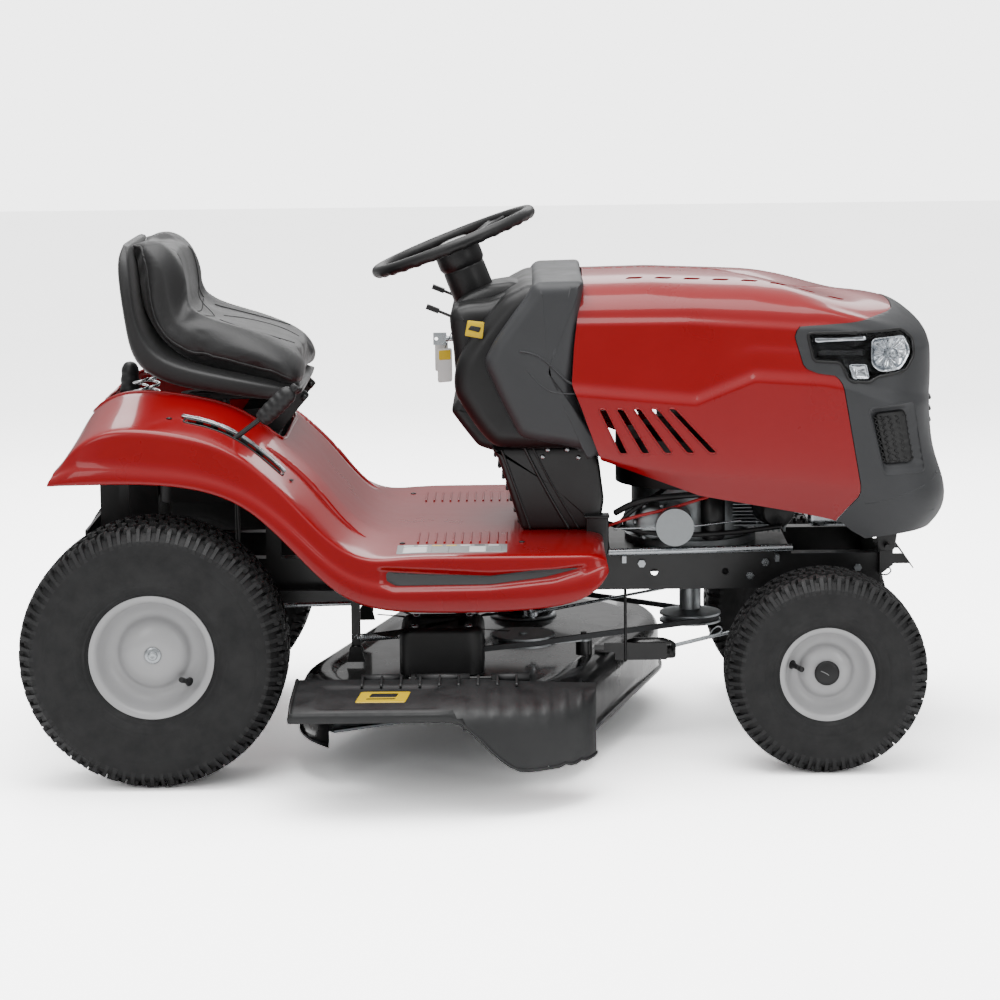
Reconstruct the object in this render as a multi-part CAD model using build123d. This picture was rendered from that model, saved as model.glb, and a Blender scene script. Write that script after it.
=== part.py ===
from build123d import *
import math
import os

# Riding lawn mower. Millimetres. X runs forward from the rear axle, Y to the driver's left,
# Z up from the ground; the finished parts are moved so that the origin is the middle of the
# footprint, on the ground. Sheet pieces are modelled with their real wall.

# ---- overall sizes -------------------------------------------------------------------------
wheelbase = 1280.0
rear_wheel_y = 383.0
front_wheel_y = 334.0
rear_tyre_r = 254.0
rear_tyre_width = 200.0
front_tyre_r = 194.0
front_tyre_width = 150.0
rear_rim_r = 117.0
front_rim_r = 89.0
rim_wall = 4.0
running_gap = 0.05          # radial clearance of a shaft in its bore
body_gap = 0.4              # space between pieces that move past each other

# ---- frame ---------------------------------------------------------------------------------
rail_y = 168.0              # outer face of each side rail
rail_low = 320.0
rail_top = 389.0
rail_rear_x = -155.0
rail_front_x = 1400.0
rail_flange = 35.0
steel = 3.0                 # sheet thickness of frame plates
hitch_x = -222.0
hitch_hole_r = 9.5
bagger_hole_r = 5.5
bagger_hole_gap = 220.0
engine_x = wheelbase - 241.0
crank_r = 12.5

# ---- steering ------------------------------------------------------------------------------
column_lean = 21.0          # degrees from upright, leaning back towards the driver
wheel_centre_x = 569.0
wheel_centre_z = 997.0
steering_rim_r = 162.0
steering_grip_r = 13.0
shaft_r = 9.5
gear_module = 4.0
pinion_teeth = 8
sector_teeth = 40
pinion_drop = 745.0         # from the steering wheel's centre, along the column
steer_arm = 70.0
steer_lock = 26.0           # degrees of the front wheels each way
kingpin_y = 240.0
kingpin_r = 9.5
axle_beam_low = 232.0
axle_beam_top = 270.0
stud_r = 6.0
link_eye = 7.0              # thickness of the drag link's front eye
kingpin_boss_r = 16.0       # stays inside the front tyres' inner faces at any steering angle

# ---- body panels ---------------------------------------------------------------------------
hood_half = 278.0
panel = 4.0                 # wall of the moulded and pressed panels
fender_half = 445.0
floor_z = 439.0
fender_wall = 3.0
hood_hinge_x = 1412.0
hood_hinge_z = 409.0
console_half = 228.0
seat_half = 232.0
seat_hinge_x = 272.0
seat_hinge_z = 700.0
pan_z = 636.0               # top of the plate under the seat

# ---- cutting deck --------------------------------------------------------------------------
deck_low = 75.0
deck_top = 190.0
deck_r = 285.0
left_spindle = (700.0, 262.0)
right_spindle = (555.0, -265.0)
blade_length = 530.0
spindle_r = 12.5
belt_z = 232.0              # height of the deck belt
drive_belt_z = 340.0        # height of the drive belt
belt_width = 10.0
belt_depth = 8.0
spindle_sheave_r = 60.0
engine_sheave_r = 50.0
idler_sheave_r = 50.0
idler_at = (700.0, -205.0)
idler_pivot = (820.0, -165.0)
chute_hinge_y = -482.0
chute_hinge_z = 214.0
chute_lug_x = (494, 646)
lift_shaft_x = 150.0
lift_shaft_z = 321.0
lift_arm = 222.0
lift_arm_y = 205.0
link_play = 4.4            # slack of each lift link round the deck's pin
lift_shaft_r = 9.5
lever_inner_y = -256.0
lever_y = -353.0
front_link_y = -125.0

# ---- controls ------------------------------------------------------------------------------
pedal_x = 800.0
pedal_z = 366.0
shift_at = (-40.0, 150.0, 420.0)
throttle_at = (590.0, -130.0, 850.0)
blade_lever_at = (600.0, 135.0, 862.0)
key_at = (568.0, -92.0, 812.0)

# ---- worked out from the sizes above -------------------------------------------------------
lean = math.radians(column_lean)
column_down = Vector(math.sin(lean), 0, -math.cos(lean))
column_forward = Vector(math.cos(lean), 0, math.sin(lean))
wheel_centre = Vector(wheel_centre_x, 0, wheel_centre_z)
pinion_r = gear_module * pinion_teeth / 2
sector_r = gear_module * sector_teeth / 2
pinion_centre = wheel_centre + column_down * pinion_drop
sector_pivot = pinion_centre - column_forward * (sector_r - pinion_r)
sector_stud = sector_pivot - column_forward * steer_arm
axle_pivot_z = sector_stud.Z
arm_face = axle_beam_top + body_gap + 8 + 0.3    # where the links' eyes sit on the steering arms
front_link_pin = (1180.0, deck_top + 50)
front_link_eye = (974.0, deck_top + 2)


def block(x0, x1, y0, y1, z0, z1):
    """A box between two corners."""
    return Pos((x0 + x1) / 2, (y0 + y1) / 2, (z0 + z1) / 2) * Box(x1 - x0, y1 - y0, z1 - z0)


def rod(start, end, radius):
    """A round bar from one point to another."""
    a = Vector(*start)
    run = Vector(*end) - a
    return Plane(origin=a, z_dir=run) * (Pos(0, 0, run.length / 2) * Cylinder(radius, run.length))


def side_shape(points, y0, y1):
    """An outline in X and Z, carried across from y0 to y1."""
    outline = make_face(Polyline(*[(x, y0, z) for x, z in points], close=True))
    return extrude(outline, amount=y1 - y0, dir=(0, 1, 0))


def cross_shape(points, x0, x1):
    """An outline in Y and Z, carried forward from x0 to x1."""
    outline = make_face(Polyline(*[(x0, y, z) for y, z in points], close=True))
    return extrude(outline, amount=x1 - x0, dir=(1, 0, 0))


def plan_shape(points, z0, z1):
    """An outline in X and Y, carried up from z0 to z1."""
    outline = make_face(Polyline(*[(x, y, z0) for x, y in points], close=True))
    return extrude(outline, amount=z1 - z0, dir=(0, 0, 1))


def turned(profile):
    """A profile of radius and height pairs, turned about the Z axis."""
    face = make_face(Polyline(*[(r, 0, h) for r, h in profile], close=True))
    return revolve(face, Axis.Z, 360)


def upright(x, y, radius, z0, z1):
    return rod((x, y, z0), (x, y, z1), radius)


def crosswise(x, z, radius, y0, y1):
    return rod((x, y0, z), (x, y1, z), radius)


def mirrored(shape):
    return mirror(shape, about=Plane.XZ)


def both_sides(shape):
    return [shape, mirrored(shape)]


def inset(points, amount):
    """The same outline with every wall moved inwards."""
    count = len(points)
    area = sum(points[i][0] * points[(i + 1) % count][1] - points[(i + 1) % count][0] * points[i][1]
               for i in range(count))
    turn = 1 if area > 0 else -1
    moved = []
    for i in range(count):
        before = points[i - 1]
        here = points[i]
        after = points[(i + 1) % count]
        ax, ay = here[0] - before[0], here[1] - before[1]
        bx, by = after[0] - here[0], after[1] - here[1]
        la, lb = math.hypot(ax, ay), math.hypot(bx, by)
        n1 = (-ay / la * turn, ax / la * turn)
        n2 = (-by / lb * turn, bx / lb * turn)
        share = amount / (1 + n1[0] * n2[0] + n1[1] * n2[1])
        moved.append((here[0] + (n1[0] + n2[0]) * share, here[1] + (n1[1] + n2[1]) * share))
    return moved


def arc_points(cx, cy, r, start, end, steps):
    """Points along an arc, angles in degrees."""
    return [(cx + r * math.cos(math.radians(start + (end - start) * i / steps)),
             cy + r * math.sin(math.radians(start + (end - start) * i / steps)))
            for i in range(steps + 1)]


# ---- wheels --------------------------------------------------------------------------------
def wheel_place(x, y, z):
    """Puts a part turned about Z on a wheel's axis, its outer face away from the middle."""
    return Pos(x, y, z) * Rot(-90 if y > 0 else 90, 0, 0)


def tyre(radius, width, rim_r):
    """A hollow pneumatic tyre between the rim's lips."""
    seat_r = rim_r - 14
    half = width / 2
    bead = half * 0.74
    wall = 9.0
    outer = [(seat_r, -bead), (rim_r + 6, -bead), (rim_r + 22, -half * 0.94), (radius - 50, -half),
             (radius - 18, -half * 0.97), (radius - 4, -half * 0.80), (radius, -half * 0.45),
             (radius, half * 0.45), (radius - 4, half * 0.80), (radius - 18, half * 0.97),
             (radius - 50, half), (rim_r + 22, half * 0.94), (rim_r + 6, bead), (seat_r, bead)]
    inner = inset(outer, wall)
    inner[0] = (seat_r - 1, -bead + wall)
    inner[-1] = (seat_r - 1, bead - wall)
    return turned(outer) - turned(inner)


def rim(width, rim_r, bore_r, hub_out, hub_in):
    """A pressed steel rim: barrel, two lips, a dished disc and a hub tube."""
    half = width / 2 * 0.74
    seat_r = rim_r - 14
    lip = 4.0
    hub_r = bore_r + 12
    barrel = turned([(seat_r - rim_wall, -half - lip), (rim_r, -half - lip), (rim_r, -half), (seat_r, -half),
                     (seat_r, half), (rim_r, half), (rim_r, half + lip), (seat_r - rim_wall, half + lip)])
    dish = turned([(hub_r - 2, half * 0.25), (rim_r * 0.50, half * 0.30), (rim_r * 0.66, half * 0.72),
                   (seat_r - 3, half * 0.72), (seat_r - 3, half * 0.72 + rim_wall),
                   (rim_r * 0.62, half * 0.72 + rim_wall), (rim_r * 0.47, half * 0.30 + rim_wall),
                   (hub_r - 2, half * 0.25 + rim_wall)])
    hub = turned([(bore_r, -hub_in), (hub_r, -hub_in), (hub_r, hub_out), (bore_r, hub_out)])
    return barrel + dish + hub


def valve_stem(rim_r, width):
    """A rubber valve that stands out of the dish."""
    base = width / 2 * 0.74 * 0.72 + rim_wall
    return Pos(rim_r * 0.70, 0, base) * turned([(0, 0), (7, 0), (7, 4), (4, 8), (4, 22), (0, 22)])


def rear_wheel(side):
    place = wheel_place(0, side * rear_wheel_y, rear_tyre_r)
    axle_in = rear_wheel_y - 96.0
    axle = turned([(0, -axle_in), (shaft_r, -axle_in), (shaft_r, 44), (0, 44)])
    cap = turned([(0, 44), (15, 44), (15, 50), (11, 56), (0, 56)])
    rim_set = [place * rim(rear_tyre_width, rear_rim_r, shaft_r, 44, 60), place * axle, place * cap,
               place * valve_stem(rear_rim_r, rear_tyre_width)]
    return place * tyre(rear_tyre_r, rear_tyre_width, rear_rim_r), rim_set


def front_wheel(side):
    place = wheel_place(wheelbase, side * front_wheel_y, front_tyre_r)
    hub_out = 34.0
    cap = turned([(0, hub_out + 6), (19, hub_out + 6), (19, hub_out), (22.5, hub_out), (22.5, hub_out + 6),
                  (19, hub_out + 14), (0, hub_out + 16)])
    bore_r = kingpin_r + running_gap
    rim_set = [place * rim(front_tyre_width, front_rim_r, bore_r, hub_out, 40), place * cap,
               place * valve_stem(front_rim_r, front_tyre_width)]
    return place * tyre(front_tyre_r, front_tyre_width, front_rim_r), rim_set


# ---- frame ---------------------------------------------------------------------------------
def frame_rail():
    """One channel rail, its flanges turned inwards, deeper at the rear."""
    inner = rail_y - rail_flange
    outline = [(rail_rear_x, rail_low - 18), (380, rail_low - 18), (460, rail_low), (rail_front_x, rail_low),
               (rail_front_x, rail_top), (rail_rear_x, rail_top)]
    channel = side_shape(outline, inner, rail_y)
    channel -= side_shape(inset(outline, steel), inner - 1, rail_y - steel)
    channel -= block(rail_rear_x - 1, rail_rear_x + steel + 1, inner - 1, rail_y - steel,
                     rail_low - 15, rail_top - steel)
    channel -= block(rail_front_x - steel - 1, rail_front_x + 1, inner - 1, rail_y - steel,
                     rail_low + steel, rail_top - steel)
    channel -= crosswise(lift_shaft_x, lift_shaft_z, lift_shaft_r + running_gap, inner - 1, rail_y + 1)
    channel -= crosswise(pedal_x, pedal_z, 8 + running_gap, inner - 1, rail_y + 1)
    for x in (720, 960, 1100):
        channel -= crosswise(x, (rail_low + rail_top) / 2, 7, inner - 1, rail_y + 1)
    return channel


def axle_bracket():
    """Cross plate on the lower flanges with two cheeks and the pin that the front axle rocks on."""
    low = rail_low + steel
    plate = block(wheelbase - 34, wheelbase + 34, -rail_y + steel, rail_y - steel, low, low + 4)
    cheeks = Part() + [block(x - 2, x + 2, -55, 55, axle_pivot_z - 18, low)
                       for x in (wheelbase - 25, wheelbase + 25)]
    pin = rod((wheelbase - 31, 0, axle_pivot_z), (wheelbase + 31, 0, axle_pivot_z), 10)
    return plate + cheeks + pin


def steering_bracket():
    """Plate that guides the column's lower end and holds the sector's pivot pin."""
    low = rail_low + steel
    plate = block(sector_pivot.X - 40, pinion_centre.X + 26, -rail_y + steel, rail_y - steel, low, low + 6)
    plate -= rod(wheel_centre + column_down * 600, wheel_centre + column_down * 800, shaft_r + running_gap)
    pin_top = sector_pivot - column_down * 52
    pin = rod(sector_pivot + column_down * 8, pin_top, 8)
    pin -= block(-2000, 2000, -50, 50, low + 3, 2000)
    head = rod(sector_pivot + column_down * 4.6, sector_pivot + column_down * 8, 13)
    return plate + pin + head


def engine_plate():
    plate = block(engine_x - 165, engine_x + 190, -rail_y, rail_y, rail_top, rail_top + 5)
    return plate - upright(engine_x, 0, 40, rail_top - 1, rail_top + 6)


def front_plate():
    """Front cross plate with the two ears that the hood turns on."""
    plate = block(rail_front_x, rail_front_x + 4, -rail_y, rail_y, rail_low, rail_top + 6)
    ear = side_shape([(rail_front_x, rail_top - 40), (rail_front_x + 26, rail_top - 20),
                      (hood_hinge_x + 14, hood_hinge_z + 4), (hood_hinge_x + 8, hood_hinge_z + 14),
                      (hood_hinge_x - 10, hood_hinge_z + 14), (rail_front_x, rail_top)], 190, 195)
    ear += block(rail_front_x, rail_front_x + 4, rail_y - 2, 195, rail_top - 40, rail_top)
    ear += crosswise(hood_hinge_x, hood_hinge_z, 6, 190, 226)
    return plate + ear + mirrored(ear)


def rear_plate():
    """Rear cross plate with the hitch tongue and a pair of holes for a bagger."""
    x = rail_rear_x
    plate = block(x - 5, x, -rail_y, rail_y, rail_low - 18, rail_top + 60)
    for side in (-1, 1):
        y = side * bagger_hole_gap / 2
        plate -= rod((x - 6, y, rail_top + 30), (x + 1, y, rail_top + 30), bagger_hole_r)
    tongue = block(hitch_x - 24, x, -55, 55, rail_low - 26, rail_low - 18)
    tongue -= upright(hitch_x, 0, hitch_hole_r, rail_low - 30, rail_low - 10)
    return plate + tongue


def floor_support(x):
    """Channel across the rails that carries the footboards."""
    web = block(x - 10, x + 10, -rail_y, rail_y, rail_top, floor_z - fender_wall - 6)
    reach = fender_half - 24
    arm = block(x - 10, x + 10, -reach, reach, floor_z - fender_wall - 6, floor_z - fender_wall)
    return web + arm


def battery_tray():
    return block(-142, -18, -rail_y + 8, rail_y - 8, rail_top, rail_top + 3)


def frame_plates():
    return [axle_bracket(), steering_bracket(), engine_plate(), front_plate(), rear_plate(), battery_tray(),
            floor_support(490), floor_support(680)]


def front_guard():
    """Perforated heat guard ahead of the frame, sloping forward and down, with two wire hooks."""
    face = Plane(origin=(1448, 0, 386), x_dir=(0, 1, 0), z_dir=(0.81, 0, 0.58))
    plate = face * Box(210, 100, 2.5)
    for column in range(9):
        for row in range(4):
            plate -= face * (Pos(-84 + 21 * column, -33 + 22 * row, 0) * Cylinder(6.5, 6))
    stays = block(rail_front_x + 4, 1490, -90, -84, 352, 372) + block(rail_front_x + 4, 1490, 84, 90, 352, 372)
    return plate + (stays - face * (Pos(0, 0, 100) * Box(400, 400, 200)))


def frame_bolts():
    """Hex heads along the outside of the rails."""
    heads = []
    for x, z in ((60, 350), (420, 360), (560, 360), (935, 372), (1148, 346), (1178, 372), (1360, 360)):
        head = Pos(x, rail_y, z) * Rot(-90, 0, 0) * extrude(RegularPolygon(8, 6), amount=6)
        heads += both_sides(head)
    return heads


def control_rods():
    """Brake rod and shift rod along the frame and the wires' steel conduit."""
    brake_y = -rail_y - 10
    shift_y = -rail_y - 22
    brake = rod((180, brake_y, 298), (639.5, brake_y, 306), 4)
    shift = rod((40, shift_y, 296), (639.5, shift_y, 306), 4)
    conduit = rod((870, brake_y - 8, 398), (1230, brake_y - 8, 404), 7)
    clamps = []
    for x in (900, 1200):
        clamps.append(block(x - 4, x + 4, brake_y - 15, -rail_y, rail_top - 12, rail_top + 1.5))
    hanger = block(640, 643, shift_y - 8, -rail_y, 298, rail_low + 12)
    return [brake, shift, conduit, hanger] + clamps


# ---- engine and drive ----------------------------------------------------------------------
def engine_block():
    """Crankcase with its sump, the finned cylinder, and the oil filter as its own piece."""
    base = rail_top + 5
    case = upright(engine_x, 0, 118, base, base + 120) + upright(engine_x, 0, 132, base, base + 14)
    case += block(engine_x + 60, engine_x + 190, -58, 58, base + 30, base + 130)
    for step in range(6):
        x = engine_x + 128 + step * 11
        case += block(x, x + 4, -74, 74, base + 22, base + 142)
    case -= upright(engine_x, 0, crank_r + running_gap, base - 1, base + 45)
    oil_filter = rod((engine_x - 40, -118 - body_gap, base + 55), (engine_x - 40, -205, base + 55), 37)
    oil_filter -= upright(engine_x, 0, 118.2, base, base + 130)
    return [case, oil_filter]


def engine_shroud():
    """Blower housing with the screened fan inlet on top and the air filter beside it."""
    base = rail_top + 125
    shroud = upright(engine_x, 0, 150, base, base + 96)
    shroud += upright(engine_x, 0, 96, base + 96, base + 116)
    shroud += block(engine_x - 60, engine_x + 165, 60, 170, base + 20, base + 118)
    shroud += block(engine_x + 20, engine_x + 200, -70, 90, base + 20, base + 82)
    shroud -= upright(engine_x, 0, 112, base - 1, base + 14)
    shroud -= block(engine_x + 56, engine_x + 201, -76, 76, base - 1, base + 24)
    return shroud


def muffler():
    """Silencer can ahead of the cylinder with its outlet pipe."""
    can = Pos(1318, 0, 478) * fillet(Box(104, 240, 92).edges(), 14)
    can -= Pos(1318, 0, 478) * fillet(Box(98, 234, 86).edges(), 11)
    outlet = rod((1340, 60, 440), (1372, 60, 408), 12)
    inlet = rod((engine_x + 193, 30, 500), (1268, 30, 490), 14)
    return can + outlet + inlet


def battery():
    low = rail_top + 3
    case = block(-138, -22, -95, 95, low, low + 150)
    return case + upright(-60, 70, 8, low + 150, low + 162) + upright(-60, -70, 8, low + 150, low + 162)


def fuel_tank():
    """Tank hung under the seat plate, with its filler neck through it."""
    tank = block(-14, 196, -150, 150, 500, pan_z - 6)
    tank = fillet(tank.edges().filter_by(Axis.Z), 25)
    return tank + upright(71, -50, 34, pan_z - 7, 690)


def fuel_cap():
    """Twist cap over the neck, ribbed round its edge."""
    cap = upright(71, -50, 47, 672, 706) - upright(71, -50, 34 + body_gap, 671, 690 + body_gap)
    for step in range(20):
        angle = math.radians(18 * step)
        cap += upright(71 + 47 * math.cos(angle), -50 + 47 * math.sin(angle), 2.5, 672, 702)
    return cap


def transaxle():
    """Cast housing with the two axle tubes and the gear shaft's socket on top."""
    housing = Pos(10, 0, 258) * fillet(Box(230, 196, 110).edges().filter_by(Axis.Y), 30)
    housing += upright(40, 0, 26, 300, drive_belt_z - 20)
    for side in (-1, 1):
        housing += crosswise(0, rear_tyre_r, 24, side * 90, side * 262)
        housing += side_shape([(-26, rear_tyre_r), (26, rear_tyre_r), (40, rail_low - 18), (-40, rail_low - 18)],
                              side * rail_y, side * (rail_y - 12))
    housing -= crosswise(0, rear_tyre_r, shaft_r + running_gap, -270, 270)
    housing -= upright(40, 0, 8 + running_gap, 290, 400)
    return housing


def sheave(core_r, z):
    """Profile of one belt groove, cut out of a solid pulley."""
    half = belt_width / 2 + 0.5
    flange = core_r + belt_depth + 4
    return [(flange, z - half - 4), (flange, z - half), (core_r, z - half), (core_r, z + half),
            (flange, z + half), (flange, z + half + 4)]


def engine_pulley():
    """Crankshaft end with the deck pulley below and the drive pulley above."""
    lower = belt_z - belt_width / 2 - 4.5
    profile = [(0, lower)] + sheave(engine_sheave_r, belt_z)
    profile += [(22, belt_z + 16), (22, drive_belt_z - 16)] + sheave(engine_sheave_r, drive_belt_z)
    profile += [(crank_r, drive_belt_z + 12), (crank_r, rail_top + 48), (0, rail_top + 48)]
    return Pos(engine_x, 0, 0) * turned(profile)


def transaxle_pulley():
    profile = [(0, drive_belt_z - 40), (8, drive_belt_z - 40), (8, drive_belt_z - 14), (20, drive_belt_z - 14)]
    profile += [(20, drive_belt_z - 9.5)] + sheave(70, drive_belt_z) + [(0, drive_belt_z + 9.5)]
    return Pos(40, 0, 0) * turned(profile)


def belt_loop(circles, z):
    """A flat loop round the given pulleys: x, y and groove radius of each."""
    low = z - belt_width / 2
    outer_edges = []
    inner_edges = []
    for x, y, r in circles:
        outer_edges += (Pos(x, y, low) * Circle(r + body_gap + belt_depth)).edges()
        inner_edges += (Pos(x, y, low) * Circle(r + body_gap)).edges()
    loop = make_hull(outer_edges) - make_hull(inner_edges)
    return extrude(loop, amount=belt_width, dir=(0, 0, 1))


def drive_belt():
    return belt_loop([(engine_x, 0, engine_sheave_r), (40, 0, 70)], drive_belt_z)


def deck_belt():
    circles = [(engine_x, 0, engine_sheave_r), (*left_spindle, spindle_sheave_r),
               (*right_spindle, spindle_sheave_r), (*idler_at, idler_sheave_r)]
    return belt_loop(circles, belt_z)


# ---- steering ------------------------------------------------------------------------------
def on_column(drop):
    """A plane square to the column, its X axis forward and its Z axis up the column."""
    return Plane(origin=wheel_centre + column_down * drop, x_dir=column_forward, z_dir=-column_down)


def steering_wheel():
    """Grip ring, three spokes and a sunk hub."""
    place = on_column(0)
    ring = Torus(steering_rim_r, steering_grip_r)
    hub = Pos(0, 0, -34) * Cylinder(34, 40)
    wheel = ring + hub
    for angle in (90, 210, 330):
        start = (22, 0, -30)
        end = (steering_rim_r - 4, 0, 0)
        spoke = rod(start, end, 9)
        wheel += Rot(0, 0, angle) * spoke
    wheel -= Pos(0, 0, -40) * Cylinder(shaft_r, 30)
    return place * wheel


def gear_outline(centre_r, tip_r, teeth, root_half, pitch_half, tip_half, tip_step):
    """Outline of straight-sided teeth: angles in degrees, tip_step the radius from root to tip."""
    points = []
    root_r = tip_r - tip_step
    for tooth in range(teeth):
        middle = 360 / teeth * tooth
        for r, a in ((root_r, -root_half), (centre_r, -pitch_half), (tip_r, -tip_half),
                     (tip_r, tip_half), (centre_r, pitch_half), (root_r, root_half)):
            angle = math.radians(middle + a)
            points.append((r * math.cos(angle), r * math.sin(angle)))
    return points


def steering_shaft():
    """Long column shaft with the pinion on its lower end."""
    shaft = rod(wheel_centre + column_down * 27, wheel_centre + column_down * (pinion_drop + 10), shaft_r)
    outline = gear_outline(pinion_r, pinion_r + 2.9, pinion_teeth, 15, 9.2, 4.0, 7.0)
    pinion = extrude(make_face(Polyline(*[(x, y, 0) for x, y in outline], close=True)), amount=18)
    return shaft + on_column(pinion_drop + 9) * pinion


def steering_sector():
    """Toothed quadrant with its teeth facing inwards, a hub on the pivot pin and an arm to the rear."""
    reach = 52
    outer = sector_r + 15
    pitch = 360 / sector_teeth
    ring = arc_points(0, 0, outer, -reach, reach, 24)
    inner = []
    count = 2 * int(reach / pitch)
    for tooth in range(count):
        middle = -(tooth - (count - 1) / 2) * pitch
        for r, a in ((sector_r + 3.6, 2.9), (sector_r, 1.85), (sector_r - 2.6, 1.0),
                     (sector_r - 2.6, -1.0), (sector_r, -1.85), (sector_r + 3.6, -2.9)):
            angle = math.radians(middle + a)
            inner.append((r * math.cos(angle), r * math.sin(angle)))
    quadrant = extrude(make_face(Polyline(*[(x, y, 0) for x, y in ring + inner], close=True)), amount=8)
    for side in (-1, 1):
        angle = side * (reach - 2)
        quadrant += Rot(0, 0, angle) * (Pos((outer - 4) / 2, 0, 4) * Box(outer - 4, 12, 8))
    quadrant += Pos(-steer_arm / 2, 0, 4) * Box(steer_arm, 22, 8)
    quadrant += Pos(0, 0, 4) * Cylinder(20, 8)
    quadrant += Pos(-steer_arm, 0, 4) * Cylinder(13, 8)
    quadrant += Pos(-steer_arm, 0, -8) * Cylinder(stud_r, 28)
    quadrant -= Cylinder(8 + running_gap, 40)
    place = Plane(origin=sector_pivot + column_down * 4, x_dir=column_forward, z_dir=-column_down)
    return place * quadrant


def column_tube():
    """Fixed column: a wide collar above the dash and a slim tube down into the frame."""
    place = on_column(0)
    profile = [(shaft_r + running_gap, -545), (16, -545), (16, -130), (41, -125), (41, -60),
               (shaft_r + running_gap, -60)]
    return place * turned(profile)


def front_axle():
    """Cast beam with a boss for the pivot pin in the middle and one for each kingpin."""
    half = 20
    beam = side_shape([(wheelbase - half, axle_beam_low), (wheelbase + half, axle_beam_low),
                       (wheelbase + half, axle_beam_top), (wheelbase - half, axle_beam_top)], -kingpin_y, kingpin_y)
    beam += rod((wheelbase - 22, 0, axle_pivot_z), (wheelbase + 22, 0, axle_pivot_z), 24)
    beam -= rod((wheelbase - 40, 0, axle_pivot_z), (wheelbase + 40, 0, axle_pivot_z), 10 + running_gap)
    for side in (-1, 1):
        beam += upright(wheelbase, side * kingpin_y, kingpin_boss_r, axle_beam_low, axle_beam_top)
        beam -= upright(wheelbase, side * kingpin_y, kingpin_r + running_gap, axle_beam_low - 1, axle_beam_top + 1)
    return beam


def knuckle(side):
    """Kingpin, stub axle and steering arm as one forging; the left arm's stud is taller."""
    y = side * kingpin_y
    arm_low = axle_beam_top + body_gap
    arm_top = arm_low + 8
    part = upright(wheelbase, y, kingpin_r, front_tyre_r, arm_top)
    part += upright(wheelbase, y, 15, front_tyre_r - 16, axle_beam_low - body_gap)
    part += crosswise(wheelbase, front_tyre_r, kingpin_r, y, side * (front_wheel_y + 36))
    part += crosswise(wheelbase, front_tyre_r, 14, y, side * (front_wheel_y - 42))
    part += block(wheelbase - steer_arm, wheelbase, y - 10, y + 10, arm_low, arm_top)
    part += upright(wheelbase, y, 18, arm_low, arm_top)
    part += upright(wheelbase - steer_arm, y, 12, arm_low, arm_top)
    part += upright(wheelbase - steer_arm, y, stud_r, arm_top, arm_top + 20)
    return part


def tie_rod():
    """Rod across the front with an eye round each arm's stud, above the drag link's eye."""
    low = arm_face + link_eye + 0.4
    x = wheelbase - steer_arm
    link = rod((x, -kingpin_y + 9, low + 5), (x, kingpin_y - 9, low + 5), 4.5)
    for y in (-kingpin_y, kingpin_y):
        link += upright(x, y, 12, low, low + 10)
    link -= upright(x, kingpin_y, stud_r + running_gap, low - 1, low + 11)
    link -= upright(x, -kingpin_y, stud_r + 0.5, low - 1, low + 11)
    return link


def drag_link():
    """Rod from the sector's arm to the left steering arm, a loose eye at the sector's end."""
    x = wheelbase - steer_arm
    rear = sector_stud + column_down * 15
    front_z = arm_face + 3.8
    link = upright(x, kingpin_y, 12, arm_face, arm_face + link_eye)
    link += rod((x, kingpin_y, front_z), (rear.X, 0, rear.Z), 3)
    link += upright(rear.X, 0, 14, rear.Z - 4, rear.Z + 4)
    link -= upright(x, kingpin_y, stud_r + running_gap, arm_face - 1, arm_face + link_eye + 1)
    link -= upright(rear.X, 0, stud_r + 3.5, rear.Z - 20, rear.Z + 20)
    return link


# ---- body panels ---------------------------------------------------------------------------
fender_low = [(862, 400), (830, 358), (733, 336), (469, 334), (357, 366), (302, 413), (247, 474), (173, 542),
              (25, 583), (-100, 600)]
fender_crown = [(-172, 592), (-158, 640), (-136, 682), (-103, 716), (-62, 729), (60, 722), (150, 694), (213, 645),
                (283, 581), (357, 494), (413, 455), (469, floor_z), (838, floor_z), (858, 424)]
fender_edge = [(-172, 592), (-160, 630), (-140, 660), (-108, 678), (-62, 682), (60, 672), (150, 644), (200, 606),
               (262, 540), (335, 466), (400, floor_z + 2), (469, floor_z), (838, floor_z), (857, 423)]
crown_y = 215.0


def arch(crown, edge, inner_y, outer_y):
    """Solid between a crown line near the middle and a lower line at the outer edge, both sides."""
    middle = side_shape(crown, -inner_y, inner_y)
    for side in (-1, 1):
        faces = []
        for y, points in ((inner_y, crown), (outer_y, edge)):
            faces.append(make_face(Polyline(*[(x, side * y, z) for x, z in points], close=True)))
        middle += loft(faces, ruled=True)
    return middle


def fender():
    """One pressing: two wheel arches, the raised seat deck and the footboards."""
    crown = fender_crown + fender_low
    edge = fender_edge + fender_low
    shell = arch(crown, edge, crown_y, fender_half)
    hollow = arch(inset(crown, fender_wall), inset(edge, fender_wall), crown_y, fender_half - fender_wall)
    shell -= hollow
    shell -= Pos(0, 0, -22) * hollow
    shell -= Pos(0, 0, -44) * hollow
    shell -= block(-130, 236, -208, 208, 560, 800)
    shell -= block(72, 246, lever_y - 9, lever_y + 9, 500, 760)
    shell -= block(pedal_x - 26, pedal_x + 40, 222, 242, floor_z - 10, floor_z + 10)
    shell -= block(-144, -120, shift_at[1] - 12, shift_at[1] + 12, 560, 800)
    shell -= block(735, 832, -60, 60, floor_z - 10, floor_z + 10)
    return shell


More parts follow.
